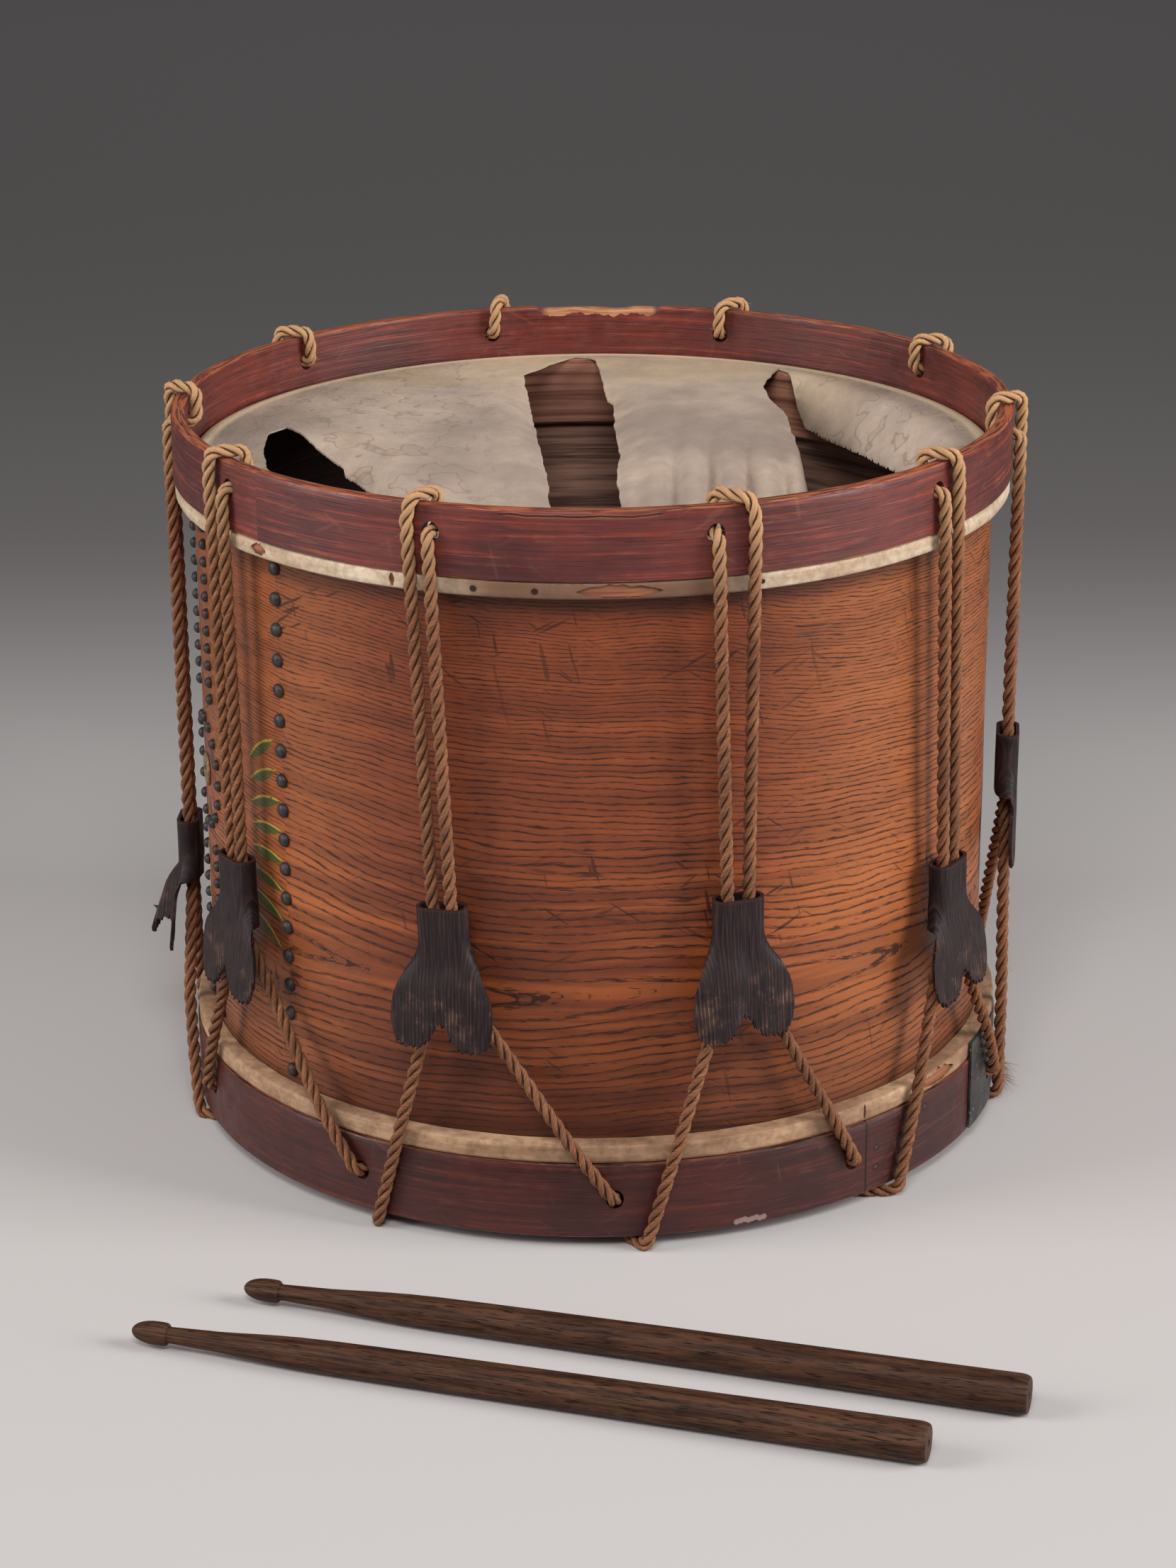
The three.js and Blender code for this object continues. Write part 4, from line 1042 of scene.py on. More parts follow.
for vertex in upper_hoop.data.vertices:
    turn = math.atan2(vertex.co.x - drum_x, drum_y - vertex.co.y)
    arc_here = (turn - seam_angle) % full_turn * shell_radius
    if vertex.co.z > rim - 0.0025 and broken_start < arc_here < broken_end:
        vertex.co.z -= 0.0012 + 0.0012 * noise.noise(vertex.co * 70)
upper_paint = painted_hoop_finish(
    "upper_hoop_paint", hoop_bottom, rim,
    [(106, 44, 37), (78, 34, 32), (42, 20, 20), (150, 62, 40), (172, 92, 54), (190, 136, 98)], upper_marks)
completed(upper_hoop, "drum", "upper_hoop_wood", upper_paint, replaced=("upper_counter_hoop",))

lower_hoop = new_object(
    "lower_hoop", spun(hoop_profile(lower_hoop_bottom, lower_hoop_high[2]), hoop_steps))
cutter = hoop_holes(foot_anchor)
for angle in (butt_angle, butt_angle + math.pi):
    gate = bmesh.ops.create_cube(cutter, size=1)
    place = side_place(hoop_radius - hoop_wall / 2, angle, gut_level)
    bmesh.ops.transform(cutter, matrix=place @ Matrix.Diagonal((gate_width, 4 * hoop_wall, gate_height, 1)),
                        verts=gate["verts"])
carved(lower_hoop, cutter)


def lower_marks(wrapped, coat, relief, fine_grain):
    """The upright joint of the hoop's lapped ends, the nails beside it and a chip on the bottom edge."""
    joint = span(abs(wrapped["Turn"] - math.radians(38.8)), 0.0028, 0.0012)
    nails = [(40.7, 0.030), (40.7, 0.019), (50.8, 0.040)]
    hollows = marks(wrapped, [(*nail, 0.0026) for nail in nails])
    heads = marks(wrapped, [(*nail, 0.0013) for nail in nails])
    chip = marks(wrapped, [(18.6 + 0.55 * i, 0.0090 + 0.0004 * (i % 3), 0.0019) for i in range(8)])
    coat = mixed(largest(joint, hollows), coat, (26, 12, 11))
    coat = mixed(heads, coat, (84, 46, 40))
    return mixed(chip * 0.6, coat, (158, 140, 132)), relief - joint


lower_paint = painted_hoop_finish(
    "lower_hoop_paint", lower_hoop_bottom, lower_hoop_high[2],
    [(74, 27, 22), (54, 22, 19), (34, 16, 15), (98, 40, 32), (118, 66, 46), (160, 120, 94)], lower_marks)
completed(lower_hoop, "drum", "lower_hoop_wood", lower_paint, replaced=("lower_counter_hoop",))

# Tension rope
# One length of three-strand laid hemp, laced up and down through every ear, round one hoop's edge and
# through the hole beside it, ten times above and ten below; its two ends are stopped inside the lower hoop.
ear_shares = [0.07, 0.12, 0.125, -0.055, 0, 0.03, 0.04, 0.03, 0.055, 0.068]
ear_level_shares = [0.474, 0.486, 0.454, 0.539, 0.468, 0.493, 0.458, 0.483, 0.389, 0.461]
last_foot = 2
rope_bend = 0.005
rope_outside = hoop_radius + rope_slack + rope_radius
rope_inside = hoop_inside - rope_slack - rope_radius
leg_inset = 0.002
leg_radius = rope_outside - leg_inset
leg_pitch = 0.0094
leg_lead = 0.002
sleeve_length = 0.038
tail_length = 0.024
lay_length = 0.024
ring_step = 0.0019
parting_level = lower_far + rope_radius
plate_left_reach = 0.0111
plate_right_reach = 0.0326
butt_plate_start = butt_angle - plate_left_reach / hoop_radius
butt_plate_end = butt_angle + plate_right_reach / hoop_radius
butt_plate_thickness = 0.0012
elbow_shift = 0.0028
elbow_drop = 0.007
rim_slant, foot_slant = 0.85, 0.6
bend_steps = 8
tightest_reach = 0.003


def ear_line(i):
    """The middle, the direction up, and the left and right legs where they part below an ear's sleeve."""
    angle = first_top_angle + bay_angle * (i + ear_shares[i])
    parting = ear_level_shares[i] * rim - sleeve_length - leg_lead
    half_pitch = leg_pitch / 2 / leg_radius
    left, right = top_anchor(i)
    middle = around(leg_radius, angle, parting)
    top = around(rope_outside, first_top_angle + bay_angle * (i + top_shares[i]), (left[1] + right[1]) / 2)
    return middle, (top - middle).normalized(), angle - half_pitch, angle + half_pitch, parting


def foot_stretch(foot, part_angle, parting):
    """Three points where the rope lies on the lower hoop's face, from its crossing up to the flesh hoop."""
    angle, level, _ = foot
    share = (parting_level - level) / (parting - level)
    over_plate = butt_plate_start < angle < butt_plate_end
    radius = rope_outside + (fit + butt_plate_thickness if over_plate else 0)
    return [around(radius, angle + t * (part_angle - angle), level + t * (parting - level))
            for t in (0, share / 2, share)]


def inner_end(crossing, other, share):
    """Where a crossing ends inside the hoop; one round the edge runs slantwise towards its hole."""
    angle, level, is_hole = crossing
    shift = 0 if is_hole else share * (other[0] - angle)
    return around(rope_inside, angle + shift, level)


def elbow(crossing, other):
    """The slack bend below the rim, away from the hole, of a leg that comes over the rim."""
    angle, _, is_hole = crossing
    away = 1 if angle > other[0] else -1
    if is_hole:
        return []
    return [around(rope_outside, angle + away * elbow_shift / rope_outside, rim - elbow_drop)]


def rope_corners():
    """The rope's corners from its first stopped end: up a bay's right leg, over, and down its left leg."""
    start = foot_anchor(last_foot)[0]
    corners = [around(rope_inside - rope_diameter, start[0], start[1])]
    for step in range(bay_count):
        i = (last_foot - step) % bay_count
        previous = (i - 1) % bay_count
        lap = -full_turn if i == 0 else 0
        _, _, left_angle, right_angle, parting = ear_line(i)
        right_foot = foot_anchor(i)[0]
        left_foot, next_foot = [(foot[0] + lap, *foot[1:]) for foot in reversed(foot_anchor(previous))]
        top_left, top_right = top_anchor(i)
        corners += foot_stretch(right_foot, right_angle, parting)
        corners += [around(leg_radius, right_angle, parting), *elbow(top_right, top_left)]
        corners += [around(rope_outside, *top_right[:2]), inner_end(top_right, top_left, rim_slant)]
        corners += [inner_end(top_left, top_right, rim_slant), around(rope_outside, *top_left[:2])]
        corners += [*elbow(top_left, top_right), around(leg_radius, left_angle, parting)]
        corners += reversed(foot_stretch(left_foot, left_angle, parting))
        if step < bay_count - 1:
            corners += [inner_end(left_foot, next_foot, foot_slant)]
            corners += [inner_end(next_foot, left_foot, foot_slant)]
        else:
            corners += [inner_end(left_foot, next_foot, 0)]
            corners += [around(rope_inside, left_foot[0], left_foot[1] + tail_length)]
    return corners


def rounded_route(corners, bend, step):
    """Points a step apart along the corners, each corner rounded off."""
    route = [corners[0]]
    for before, corner, after in zip(corners, corners[1:], corners[2:]):
        back, on = before - corner, after - corner
        turn = math.pi - back.angle(on)
        reach = min(bend * math.tan(turn / 2), back.length * 0.48, on.length * 0.48)
        reach = max(reach, min(tightest_reach, back.length * 0.3, on.length * 0.3))
        start, end = corner + back.normalized() * reach, corner + on.normalized() * reach
        for i in range(bend_steps + 1):
            share = i / bend_steps
            route.append(start.lerp(corner, share).lerp(corner.lerp(end, share), share))
    route.append(corners[-1])
    points, spare = [route[0]], 0.0
    for a, b in zip(route, route[1:]):
        length = (b - a).length
        along = step - spare
        while along <= length:
            points.append(a.lerp(b, along / length))
            along += step
        spare = length - (along - step)
    return points


# One strand's outline, and how far it stands out of its grooves, at six places round it.
strand_swell = (1.0, 0.94, 0.77, 0.48, 0.77, 0.94)
strand_height = (1.0, 0.92, 0.6, 0.0, 0.6, 0.92)


def laid_cord(name, points, radius, lay, strands=3):
    """A cord of laid strands along evenly spaced points; attributes hold its groove and its run."""
    sides = len(strand_swell) * strands
    section = bpy.data.curves.new(name + "_section", "CURVE")
    section.dimensions = "2D"
    outline = section.splines.new("POLY")
    outline.points.add(sides - 1)
    for index, point in enumerate(outline.points):
        angle = full_turn * index / sides
        reach = radius * strand_swell[index % len(strand_swell)]
        point.co = (reach * math.cos(angle), reach * math.sin(angle), 0, 1)
    outline.use_cyclic_u = True
    section_object = bpy.data.objects.new(name + "_section", section)
    bpy.context.scene.collection.objects.link(section_object)
    curve = bpy.data.curves.new(name, "CURVE")
    curve.dimensions = "3D"
    curve.twist_mode = "MINIMUM"
    curve.bevel_mode = "OBJECT"
    curve.bevel_object = section_object
    curve.use_fill_caps = True
    spline = curve.splines.new("POLY")
    spline.points.add(len(points) - 1)
    step = (points[1] - points[0]).length
    for index, (point, place) in enumerate(zip(spline.points, points)):
        point.co = (*place, 1)
        point.tilt = full_turn * index * step / lay % full_turn
    made = bpy.data.objects.new(name, curve)
    bpy.context.scene.collection.objects.link(made)
    depsgraph = bpy.context.evaluated_depsgraph_get()
    mesh = bpy.data.meshes.new_from_object(made.evaluated_get(depsgraph))
    bpy.data.objects.remove(made)
    bpy.data.objects.remove(section_object)
    groove = mesh.attributes.new("groove", "FLOAT", "POINT")
    run = mesh.attributes.new("run", "FLOAT_VECTOR", "POINT")
    for index in range(len(mesh.vertices)):
        ring, side = divmod(index, sides)
        angle = full_turn * side / sides + full_turn * ring * step / lay
        groove.data[index].value = strand_height[side % len(strand_height)]
        run.data[index].vector = (radius * math.cos(angle), radius * math.sin(angle), ring * step)
    made = bpy.data.objects.new(name, mesh)
    bpy.context.scene.collection.objects.link(made)
    return made


hemp_finish, tree = finish("laid_hemp", Roughness=0.86)
run = wire(tree, "ShaderNodeAttribute", {}, output="Vector", attribute_name="run")
high = wire(tree, "ShaderNodeAttribute", {}, output="Fac", attribute_name="groove")
place = object_place(tree)
fibres = spots(stretched(run, 1, 1, 0.09), 2600, 3.0, 0.65)
patch = spots(place, 26, 3.0, 0.6)
pale = mixed(span(fibres, 0.32, 0.68), (88, 53, 38), (180, 122, 84))
pale = mixed(span(patch, 0.35, 0.7, 0, 0.5), pale, (96, 62, 46))
# Painted highlight: the rope is made paler towards the rim, where its top loops catch the light from above.
pale = mixed(span(axis(place, "Z"), rim - 0.06, rim + 0.004, 0, 0.62), pale, (226, 178, 130))
# Painted shade: the grooves between the strands are darkened.
dress(tree, mixed(span(high, 0.0, 0.62), (62, 36, 26), pale), None, fibres, 0.0005)

strand_fullness = 1.06
rope_points = rounded_route(rope_corners(), rope_bend, ring_step)
rope = laid_cord("hemp_rope", rope_points, rope_radius * strand_fullness, lay_length)
for vertex in rope.data.vertices:
    vertex.co.z = max(vertex.co.z, 0)
completed(rope, "drum", "hemp_rope", hemp_finish, sharp=80, replaced=("tension_rope",))

# Loose fibres
# Short hemp fibres stand off the rope everywhere, and a frayed tuft hangs from its loop by the butt plate.
fibre_width = 0.00016
fibre_taper = 0.7
shortest_fibre, longest_fibre = 0.0015, 0.0042
shortest_frayed, longest_frayed = 0.004, 0.011
tuft_fibres = 130
tuft_angle = math.radians(80.5)
shuffle = random.Random(5)
bm = bmesh.new()


def add_fibre(start, way, length, bend):
    """A thin curved blade from start, in three steps."""
    flat = way.orthogonal().normalized()
    side = (Matrix.Rotation(shuffle.uniform(0, math.pi), 3, way) @ flat) * fibre_width / 2
    row = None
    for step in range(4):
        share = step / 3
        spot = start + way * length * share + bend * share * share
        spot.z = max(spot.z, fibre_width)
        half = side * (1 - share * fibre_taper)
        pair = (bm.verts.new(spot - half), bm.verts.new(spot + half))
        if row:
            bm.faces.new((row[0], row[1], pair[1], pair[0]))
        row = pair


rope_ends = 6
for index in range(rope_ends, len(rope_points) - rope_ends, 2):
    spot, along = rope_points[index], (rope_points[index + 1] - rope_points[index - 1]).normalized()
    off = (Matrix.Rotation(shuffle.uniform(0, full_turn), 3, along) @ along.orthogonal()).normalized()
    way = (along * shuffle.uniform(0.5, 1.6) + off).normalized()
    length = shuffle.uniform(shortest_fibre, longest_fibre)
    if spot.z + way.z * length > fit:
        add_fibre(spot + off * rope_radius * 0.85, way, length, along * shuffle.uniform(-0.001, 0.001))
tuft_out = Vector((math.sin(tuft_angle), -math.cos(tuft_angle), 0))
for _ in range(tuft_fibres):
    start = around(rope_outside + shuffle.uniform(-0.001, 0.003),
                   tuft_angle + shuffle.uniform(-0.012, 0.016), shuffle.uniform(0.008, 0.020))
    way = tuft_out * shuffle.uniform(0.2, 1.0)
    way += Vector((shuffle.uniform(-0.4, 0.6), shuffle.uniform(-0.5, 0.5), shuffle.uniform(-1.2, 0.1)))
    length = shuffle.uniform(shortest_frayed, longest_frayed)
    add_fibre(start, way.normalized(), length, Vector((0, 0, -0.001)))
groove_layer = bm.verts.layers.float.new("groove")
run_layer = bm.verts.layers.float_vector.new("run")
for vert in bm.verts:
    vert[groove_layer] = 1.0
    vert[run_layer] = vert.co
completed(new_object("loose_fibres", bm), "drum", "hemp_rope", hemp_finish)

# Leather ears
# Ten pieces of black harness leather, each folded into a flat sleeve round its two legs of rope.
# Below the sleeve each opens into two lobes with pinked edges; pulling one down tightens the skins.
ear_height = 0.074
lobe_reach = 0.0265
leather = 0.0018
ear_play = 0.0010
sleeve_width = 0.0255
sleeve_half_width = (sleeve_width - leather) / 2
sleeve_half_depth = rope_radius + ear_play + leather / 2
lobe_bow = 0.1417
lobe_flare = math.tan(math.radians(6))
ear_side_shares = [
    (0, 0.47), (0.14, 0.465), (0.28, 0.48), (0.38, 0.58), (0.48, 0.76), (0.58, 0.92), (0.68, 0.985),
    (0.8, 1), (1, 1),
]
ear_hem_shares = [
    (0, 0.80), (0.09, 0.815), (0.2, 0.88), (0.36, 0.945), (0.58, 0.965), (0.8, 0.955), (0.93, 0.90),
    (1, 0.79),
]
ear_columns = 144
ear_rows = 34
back_columns = 24
back_rows = 20
tooth_pitch = 0.0034
tooth_depth = 0.0029
# The fourth ear lies nearly flat, and the left lobe of the ninth stands far out.
own_flares = {4: [0.15, 0.1], 9: [3.4, 1.2]}


def between(table, value):
    """A value read from a table of pairs along a smooth line through them."""
    last = len(table) - 1
    i = next((i for i in range(last) if value <= table[i + 1][0]), last - 1)
    (x0, y0), (x1, y1) = table[i], table[i + 1]
    before, after = table[max(i - 1, 0)], table[min(i + 2, last)]
    slope_in = (y1 - before[1]) / (x1 - before[0])
    slope_out = (after[1] - y0) / (after[0] - x0)
    t = (min(value, x1) - x0) / (x1 - x0)
    width = x1 - x0
    return ((1 + 2 * t) * (1 - t) ** 2 * y0 + t * (1 - t) ** 2 * width * slope_in
            + t * t * (3 - 2 * t) * y1 + t * t * (t - 1) * width * slope_out)


def sleeve_depth(x):
    """Half the sleeve's depth at x from its middle: flat, with a rounded edge at each side."""
    flat = sleeve_half_width - sleeve_half_depth
    past = max(0.0, abs(x) - flat)
    return math.sqrt(max(0.0, sleeve_half_depth ** 2 - past ** 2))


def ear_sheet(seed):
    """The leather's middle surface: upright, facing -Y, the top of its sleeve at the origin."""
    shuffle = random.Random(seed)
    bm = bmesh.new()
    lean = shuffle.uniform(-0.02, 0.02)
    flares = [shuffle.uniform(0.75, 1.45), shuffle.uniform(0.75, 1.45)]
    flares = own_flares.get(seed, flares)
    longer = [shuffle.uniform(0.97, 1.0), shuffle.uniform(0.97, 1.0)]
    hem_run = [0.0]
    for column in range(ear_columns):
        ends = [(abs(2 * c / ear_columns - 1), 2 * c / ear_columns - 1) for c in (column, column + 1)]
        rise = (between(ear_hem_shares, ends[1][0]) - between(ear_hem_shares, ends[0][0])) * ear_height
        hem_run.append(hem_run[-1] + math.hypot(2 / ear_columns * lobe_reach, rise))

    def front_depth(across, x, level):
        opened = ease(0.022, 0.042, level)
        tube = -sleeve_depth(across * sleeve_half_width)
        blend = ease(-0.25, 0.25, across)
        flare = flares[0] * (1 - blend) + flares[1] * blend
        lobe = -sleeve_half_depth - max(0.0, level - 0.013) * lobe_flare * flare
        lobe += x * x / (2 * lobe_bow) + 0.0012 * math.exp(-(x / 0.004) ** 2) * ease(0.045, 0.06, level)
        return tube + (lobe - tube) * opened

    front = bmesh.ops.create_grid(bm, x_segments=ear_columns, y_segments=ear_rows, size=1)["verts"]
    side_depth = {}
    for vert in front:
        across, row = vert.co.x, (1 - vert.co.y) / 2
        half = between(ear_hem_shares, abs(across)) * (longer[0] if across < 0 else longer[1])
        level = row * half * ear_height
        x = across * between(ear_side_shares, level / ear_height) * lobe_reach
        depth = front_depth(across, x, level)
        if abs(abs(across) - 1) < merge_distance:
            side_depth[(across > 0, round(row * ear_rows))] = (x, level, depth)
        run = hem_run[round((across + 1) / 2 * ear_columns)]
        tooth = abs((run / tooth_pitch + 0.15 * math.sin(run * 900)) % 1 - 0.5) * 2 * tooth_depth
        tooth *= ease(0.93, 1, row) * (1 + 0.6 * noise.noise(Vector((run * 260, seed, 0))))
        vert.co = (x, depth, -level - tooth + lean * x * ease(0.4, 1, row))
    back = bmesh.ops.create_grid(bm, x_segments=back_columns, y_segments=back_rows, size=1)["verts"]
    for vert in back:
        across, row = vert.co.x, round((1 - vert.co.y) / 2 * back_rows)
        x_side, level, depth_side = side_depth[(across > 0, row)]
        x = across * abs(x_side)
        at_side = abs(abs(across) - 1) < merge_distance
        depth = sleeve_depth(across * sleeve_half_width) + depth_side * across ** 2
        vert.co = (x, depth_side if at_side else depth, lean * x * ease(0.4, 1, row / ear_rows) - level)
    bmesh.ops.remove_doubles(bm, verts=bm.verts, dist=2e-5)
    bmesh.ops.recalc_face_normals(bm, faces=bm.faces)
    return bm


crease_pitch = 0.0019
leather_finish, tree = finish("black_harness_leather")
hide_place = wire(tree, "ShaderNodeUVMap", {}, output="UV", uv_map="leather")
hide_down = axis(hide_place, "Y")
creases = spots(stretched(hide_place, 1, 0.05, 1), 1100, 3.0, 0.55)
wander = spots(stretched(hide_place, 1, 0.2, 1), 160)
ridges = calc("SINE", axis(hide_place, "X") * (full_turn / crease_pitch) + wander * 9)
ridges = span(ridges, 0.2, 0.95) * span(creases, 0.36, 0.6)
blotches = spots(hide_place, 60, 4.0, 0.6)
scuffs = spots(hide_place, 70, 4.0, 0.7)
black = mixed(span(creases, 0.35, 0.7), (20, 12, 14), (43, 28, 30))
black = mixed(span(blotches, 0.45, 0.7, 0, 0.4), black, (40, 30, 29))
black = mixed(ridges * 0.34, black, (80, 54, 48))
scuffed = span(scuffs, 0.48, 0.7) * span(hide_down, -0.024, -0.055) * (ridges * 0.5 + 0.12)
black = mixed(scuffed, black, (140, 104, 80))
black = mixed(span(hide_down, -0.0016, -0.0002) * 0.3, black, (74, 44, 38))
dress(tree, black, span(scuffs, 0.3, 0.7, 0.46, 0.66), creases + blotches * 0.4, 0.0003)

for i in range(bay_count):
    name = f"ear_{i + 1:02d}"
    bm = ear_sheet(i + 1)
    leather_map = bm.loops.layers.uv.new("leather")
    for face in bm.faces:
        for loop in face.loops:
            loop[leather_map].uv = (loop.vert.co.x + 0.1 * i, loop.vert.co.z)
    middle, up_line, *_ = ear_line(i)
    angle = first_top_angle + bay_angle * (i + ear_shares[i])
    out = Vector((math.sin(angle), -math.cos(angle), 0))
    inward = -(out - up_line * out.dot(up_line)).normalized()
    across = inward.cross(up_line)
    turn = Matrix((across, inward, up_line)).transposed().to_4x4()
    place = Matrix.Translation(middle + up_line * (sleeve_length + leg_lead)) @ turn
    bmesh.ops.transform(bm, matrix=place, verts=bm.verts)
    ear = new_object(name + "_leather", bm)
    thick = ear.modifiers.new("leather", "SOLIDIFY")
    thick.thickness = leather
    thick.offset = 0
    thick.use_even_offset = True
    settled(ear)
    completed(ear, name, "black_leather", leather_finish, sharp=40, replaced=(name,))

# Tacks
# Dome-headed iron tacks, blackened, driven through the lap of the seam in an upright row.
# More of them stand in two rows along the painted panel and in a ring round the vent.
tack_radius = 0.0034
tack_rise = 0.0025
tack_steps = 20
dome_steps = 6
seam_tack_count = 18
seam_tack_size = 1.1
panel_tack_count = 30
panel_tack_size = 0.85
vent_tack_count = 16
vent_tack_ring = 0.029
vent_tack_gap = 0.036
top_tack_level = upper_far - 2 * tack_radius
low_tack_level = lower_far + 2 * tack_radius

tack_finish, tree = finish("blackened_iron", Metallic=0.55)
rust = spots(object_place(tree), 420, 3.0)
iron_colour = mixed(span(rust, 0.35, 0.7), (52, 54, 58), (82, 66, 56))
dress(tree, iron_colour, span(rust, 0.3, 0.7, 0.42, 0.62), rust, 0.0002)

tack_profile = [(0, fit), (tack_radius, fit)]
for i in range(dome_steps + 1):
    turn = math.pi / 2 * i / dome_steps
    tack_profile.append((tack_radius * math.cos(turn), fit * 2 + tack_rise * math.sin(turn)))


def add_tack(tacks, angle, level, seed, size):
    """Adds a tack on the shell, leaning a little, to a bmesh."""
    shuffle = random.Random(seed)
    tack = spun(tack_profile, tack_steps, closed=False, centre=(0, 0))
    tilt = Matrix.Rotation(math.radians(shuffle.uniform(-7, 7)), 4, "X")
    tilt = tilt @ Matrix.Rotation(math.radians(shuffle.uniform(-7, 7)), 4, "Z")
    scale = Matrix.Diagonal((size, 1, size, 1))
    place = side_place(shell_radius, angle, level) @ tilt @ scale @ upright_to_out
    bmesh.ops.transform(tack, matrix=place, verts=tack.verts)
    mesh = bpy.data.meshes.new("tack")
    tack.to_mesh(mesh)
    tack.free()
    tacks.from_mesh(mesh)
    bpy.data.meshes.remove(mesh)


seam_tacks = bmesh.new()
for i in range(seam_tack_count):
    level = top_tack_level + (low_tack_level - top_tack_level) * i / (seam_tack_count - 1)
    add_tack(seam_tacks, seam_angle, level, i, seam_tack_size)
completed(new_object("seam_tacks", seam_tacks), "drum", "tack_iron", tack_finish,
          replaced=[f"seam_tack_{i + 1:02d}" for i in range(seam_tack_count)])

panel_tacks = bmesh.new()
for i in range(panel_tack_count):
    level = top_tack_level + (low_tack_level - top_tack_level) * i / (panel_tack_count - 1)
    if abs(level - vent_level) > vent_tack_gap:
        add_tack(panel_tacks, math.radians(-72), level, 100 + i, panel_tack_size)
        add_tack(panel_tacks, math.radians(-82), level, 200 + i, panel_tack_size)
for i in range(vent_tack_count):
    turn = full_turn * i / vent_tack_count
    add_tack(panel_tacks, vent_angle + vent_tack_ring * math.cos(turn) / shell_radius,
             vent_level + vent_tack_ring * math.sin(turn), 300 + i, panel_tack_size)
completed(new_object("panel_tacks", panel_tacks), "drum", "tack_iron", tack_finish)

# Snares
# One length of twisted gut, drawn six times across the lower skin.
# It runs between the butt plate and the strainer, through a gate in the lower hoop at each end.
gut_pitch = 0.003
gut_count = 6
gut_lay = 0.004
gut_step = 0.0012
gut_front = hoop_radius - hoop_wall / 2
strainer_reach = 0.0085
gut_back = hoop_radius + fit + strainer_reach

gut_finish, tree = finish("twisted_gut", Roughness=0.4)
run = wire(tree, "ShaderNodeAttribute", {}, output="Vector", attribute_name="run")
amber = spots(stretched(run, 1, 1, 0.1), 3000)
dress(tree, mixed(span(amber, 0.3, 0.7), (190, 160, 108), (140, 108, 62)), None, amber, 0.0002)

gut_corners = []
for i in range(gut_count):
    across = (i - (gut_count - 1) / 2) * gut_pitch
    ends = [(across, gut_back), (across, -gut_front)]
    gut_corners += ends if i % 2 == 0 else ends[::-1]
turn = Matrix.Rotation(butt_angle, 4, "Z")
gut_corners = [turn @ Vector((x, y, 0)) + Vector((drum_x, drum_y, gut_level)) for x, y in gut_corners]
gut_route = rounded_route(gut_corners, gut_pitch / 2, gut_step)
snares = laid_cord("gut_snare", gut_route, gut_radius, gut_lay, 2)
completed(snares, "drum", "gut", gut_finish, sharp=80, replaced=("gut_snares",))

# Snare butt plate
# A piece of dark grey-green sheet metal, bent over the lower hoop to hold the snares' far ends.
plate_low, plate_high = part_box("snare_butt_plate")
sheet_finish, tree = finish("dark_sheet_metal", Metallic=0.35)
place = object_place(tree)
patina = spots(place, 60, 4.0, 0.6)
sheet_colour = mixed(span(patina, 0.35, 0.65), (44, 43, 42), (78, 76, 74))
sheet_colour = mixed(span(spots(place, 520), 0.66, 0.74, 0, 0.7), sheet_colour, (168, 166, 156))
dress(tree, sheet_colour, span(patina, 0.3, 0.7, 0.4, 0.6), patina, 0.0006)

plate_inside = hoop_radius + fit
bm = bmesh.new()
bmesh.ops.create_grid(bm, x_segments=30, y_segments=20, size=1)
for vert in bm.verts:
    u, v = (vert.co.x + 1) / 2, (vert.co.y + 1) / 2
    angle = butt_plate_start + (butt_plate_end - butt_plate_start) * u
    bend = 0.00035 * noise.noise(Vector((u * 3, v * 3, 0.5)))
    level = plate_low[2] + (plate_high[2] - plate_low[2]) * v
    vert.co = around(plate_inside + butt_plate_thickness / 2 + max(bend, 0), angle, level)
bmesh.ops.recalc_face_normals(bm, faces=bm.faces)
plate = new_object("butt_plate", bm)
thick = plate.modifiers.new("sheet", "SOLIDIFY")
thick.thickness = butt_plate_thickness
thick.offset = 0
settled(plate)
drill = bmesh.new()
hole_angle, hole_level, _ = foot_anchor(last_foot)[0]
drilled(drill, side_place(plate_inside, hole_angle, hole_level),
        rope_hole_width / 2, rope_hole_height / 2, 0.02)
carved(plate, drill)
completed(plate, "drum", "dark_sheet", sheet_finish, replaced=("snare_butt_plate",))

# Snare strainer
# A small forged frame on the lower hoop, a jaw that grips the gut, and a wing nut that draws the jaw out.
iron_finish, tree = finish("forged_iron", Metallic=0.75)
scale_marks = spots(object_place(tree), 260, 4.0, 0.6)
forged = mixed(span(scale_marks, 0.35, 0.65), (58, 58, 62), (88, 74, 64))
dress(tree, forged, span(scale_marks, 0.3, 0.7, 0.38, 0.6), scale_marks, 0.0003)
for name in ("strainer_frame", "strainer_jaw", "strainer_wing_nut"):
    node_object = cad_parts[name]
    node_object.data.materials.clear()
    node_object.data.materials.append(iron_finish)
    weld = node_object.modifiers.new("weld", "WELD")
    weld.merge_threshold = 0.00002
    bevel = node_object.modifiers.new("bevel", "BEVEL")
    bevel.width = 0.0005
    bevel.segments = 2
    bevel.limit_method = "ANGLE"
    bevel.angle_limit = math.radians(40)

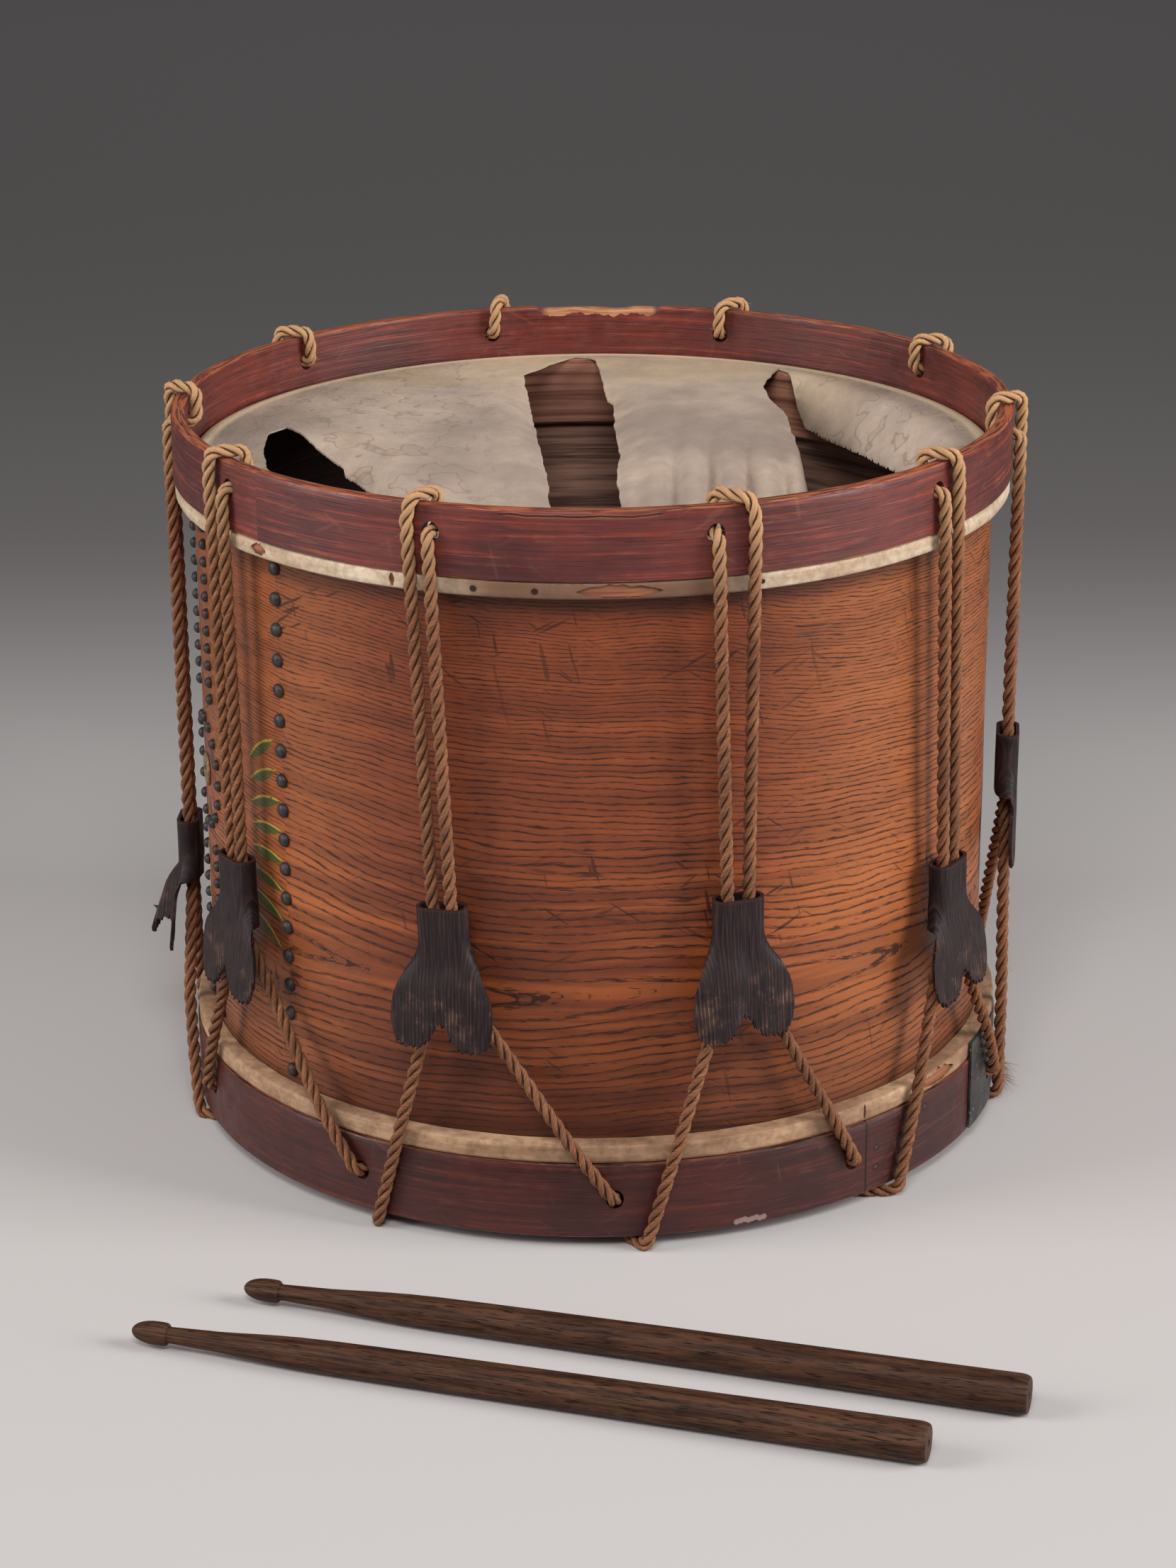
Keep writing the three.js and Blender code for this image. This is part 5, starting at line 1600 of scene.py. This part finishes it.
# Drumsticks
# Two sticks of dark oiled walnut, turned with an acorn tip, a slim neck and a long even handle.
# They lie on the floor along their handles; each has a small centre hole in its butt.
stick_length = 0.388
stick_radius = 0.0097
stick_turn = math.radians(-17.2)
stick_places = [(-0.576, 0.809), (-0.447, 0.7)]
stick_profile = [
    (0, 0), (0.0012, 0.13), (0.0035, 0.26), (0.0075, 0.38), (0.013, 0.475), (0.020, 0.545), (0.027, 0.58),
    (0.035, 0.59), (0.042, 0.585), (0.0462, 0.565), (0.0478, 0.52), (0.0484, 0.43), (0.053, 0.405),
    (0.062, 0.42), (0.075, 0.442), (0.09, 0.465), (0.115, 0.5), (0.14, 0.57), (0.165, 0.645),
    (0.19, 0.715), (0.22, 0.775), (0.26, 0.82), (0.32, 0.85), (0.4, 0.872), (0.45, 0.885), (0.515, 0.9),
    (0.6, 0.918), (0.7, 0.939), (0.8, 0.96), (0.9, 0.981), (0.988, 1), (0.9925, 0.985), (0.996, 0.955),
    (0.9985, 0.91), (1, 0.86), (1, 0),
]
shoulder_share, shoulder_radius_share = 0.515, 0.9
butt_share = 0.988
centre_hole_depth = 0.0035
centre_hole_end, centre_hole_mouth = 0.0006, 0.0032

walnut_finish, tree = finish("oiled_walnut", IOR=1.35)
along_stick = wire(tree, "ShaderNodeUVMap", {}, output="UV", uv_map="grain")
pores = spots(stretched(along_stick, 1, 0.06, 1), 1300, 2.0, 0.6)
grain = spots(stretched(along_stick, 1, 0.06, 1), 330, 4.0, 0.6)
tone = spots(object_place(tree), 22, 3.0)
dark_walnut = mixed(span(grain, 0.34, 0.66), (44, 27, 20), (90, 60, 42))
dark_walnut = mixed(span(tone, 0.35, 0.7, 0, 0.5), dark_walnut, (62, 38, 27))
dark_walnut = mixed(span(pores, 0.55, 0.62, 0, 0.9), dark_walnut, (24, 14, 11))
dress(tree, dark_walnut, span(pores, 0.5, 0.7, 0.5, 0.72), pores, -0.0002)

# A stick rests on its shoulder and on its butt, so its axis rises a little towards the butt.
stick_rise = math.atan(
    stick_radius * (1 - shoulder_radius_share) / (stick_length * (butt_share - shoulder_share)))
tip_level = (shoulder_radius_share * stick_radius * math.cos(stick_rise)
             - shoulder_share * stick_length * math.sin(stick_rise))
stick_way = Matrix.Rotation(stick_turn, 4, "Z") @ Matrix.Rotation(math.pi / 2 - stick_rise, 4, "Y")
for i, (share_across, share_out) in enumerate(stick_places):
    bm = spun([(share * stick_radius, along * stick_length) for along, share in stick_profile],
              steps=48, closed=False, centre=(0, 0))
    grain_map = bm.loops.layers.uv.new("grain")
    for face in bm.faces:
        middle = face.calc_center_median()
        middle_angle = math.atan2(middle.y, middle.x)
        for loop in face.loops:
            angle = math.atan2(loop.vert.co.y, loop.vert.co.x)
            angle += full_turn * round((middle_angle - angle) / full_turn)
            loop[grain_map].uv = (angle * stick_radius + 0.3 * i, loop.vert.co.z)
    tip = Vector((drum_x + share_across * stick_length, drum_y - share_out * stick_length, tip_level))
    place = Matrix.Translation(tip) @ stick_way
    lowest = min((place @ vert.co).z for vert in bm.verts)
    place = Matrix.Translation((0, 0, -lowest)) @ place
    bmesh.ops.transform(bm, matrix=place, verts=bm.verts)
    stick = new_object(f"walnut_stick_{i + 1}", bm)
    drill = bmesh.new()
    bmesh.ops.create_cone(drill, cap_ends=True, segments=20, radius1=centre_hole_end,
                          radius2=centre_hole_mouth, depth=2 * centre_hole_depth,
                          matrix=place @ Matrix.Translation((0, 0, stick_length)))
    carved(stick, drill)
    name = f"drumstick_{i + 1}"
    completed(stick, name, "stick_walnut", walnut_finish, sharp=50, replaced=(name,))
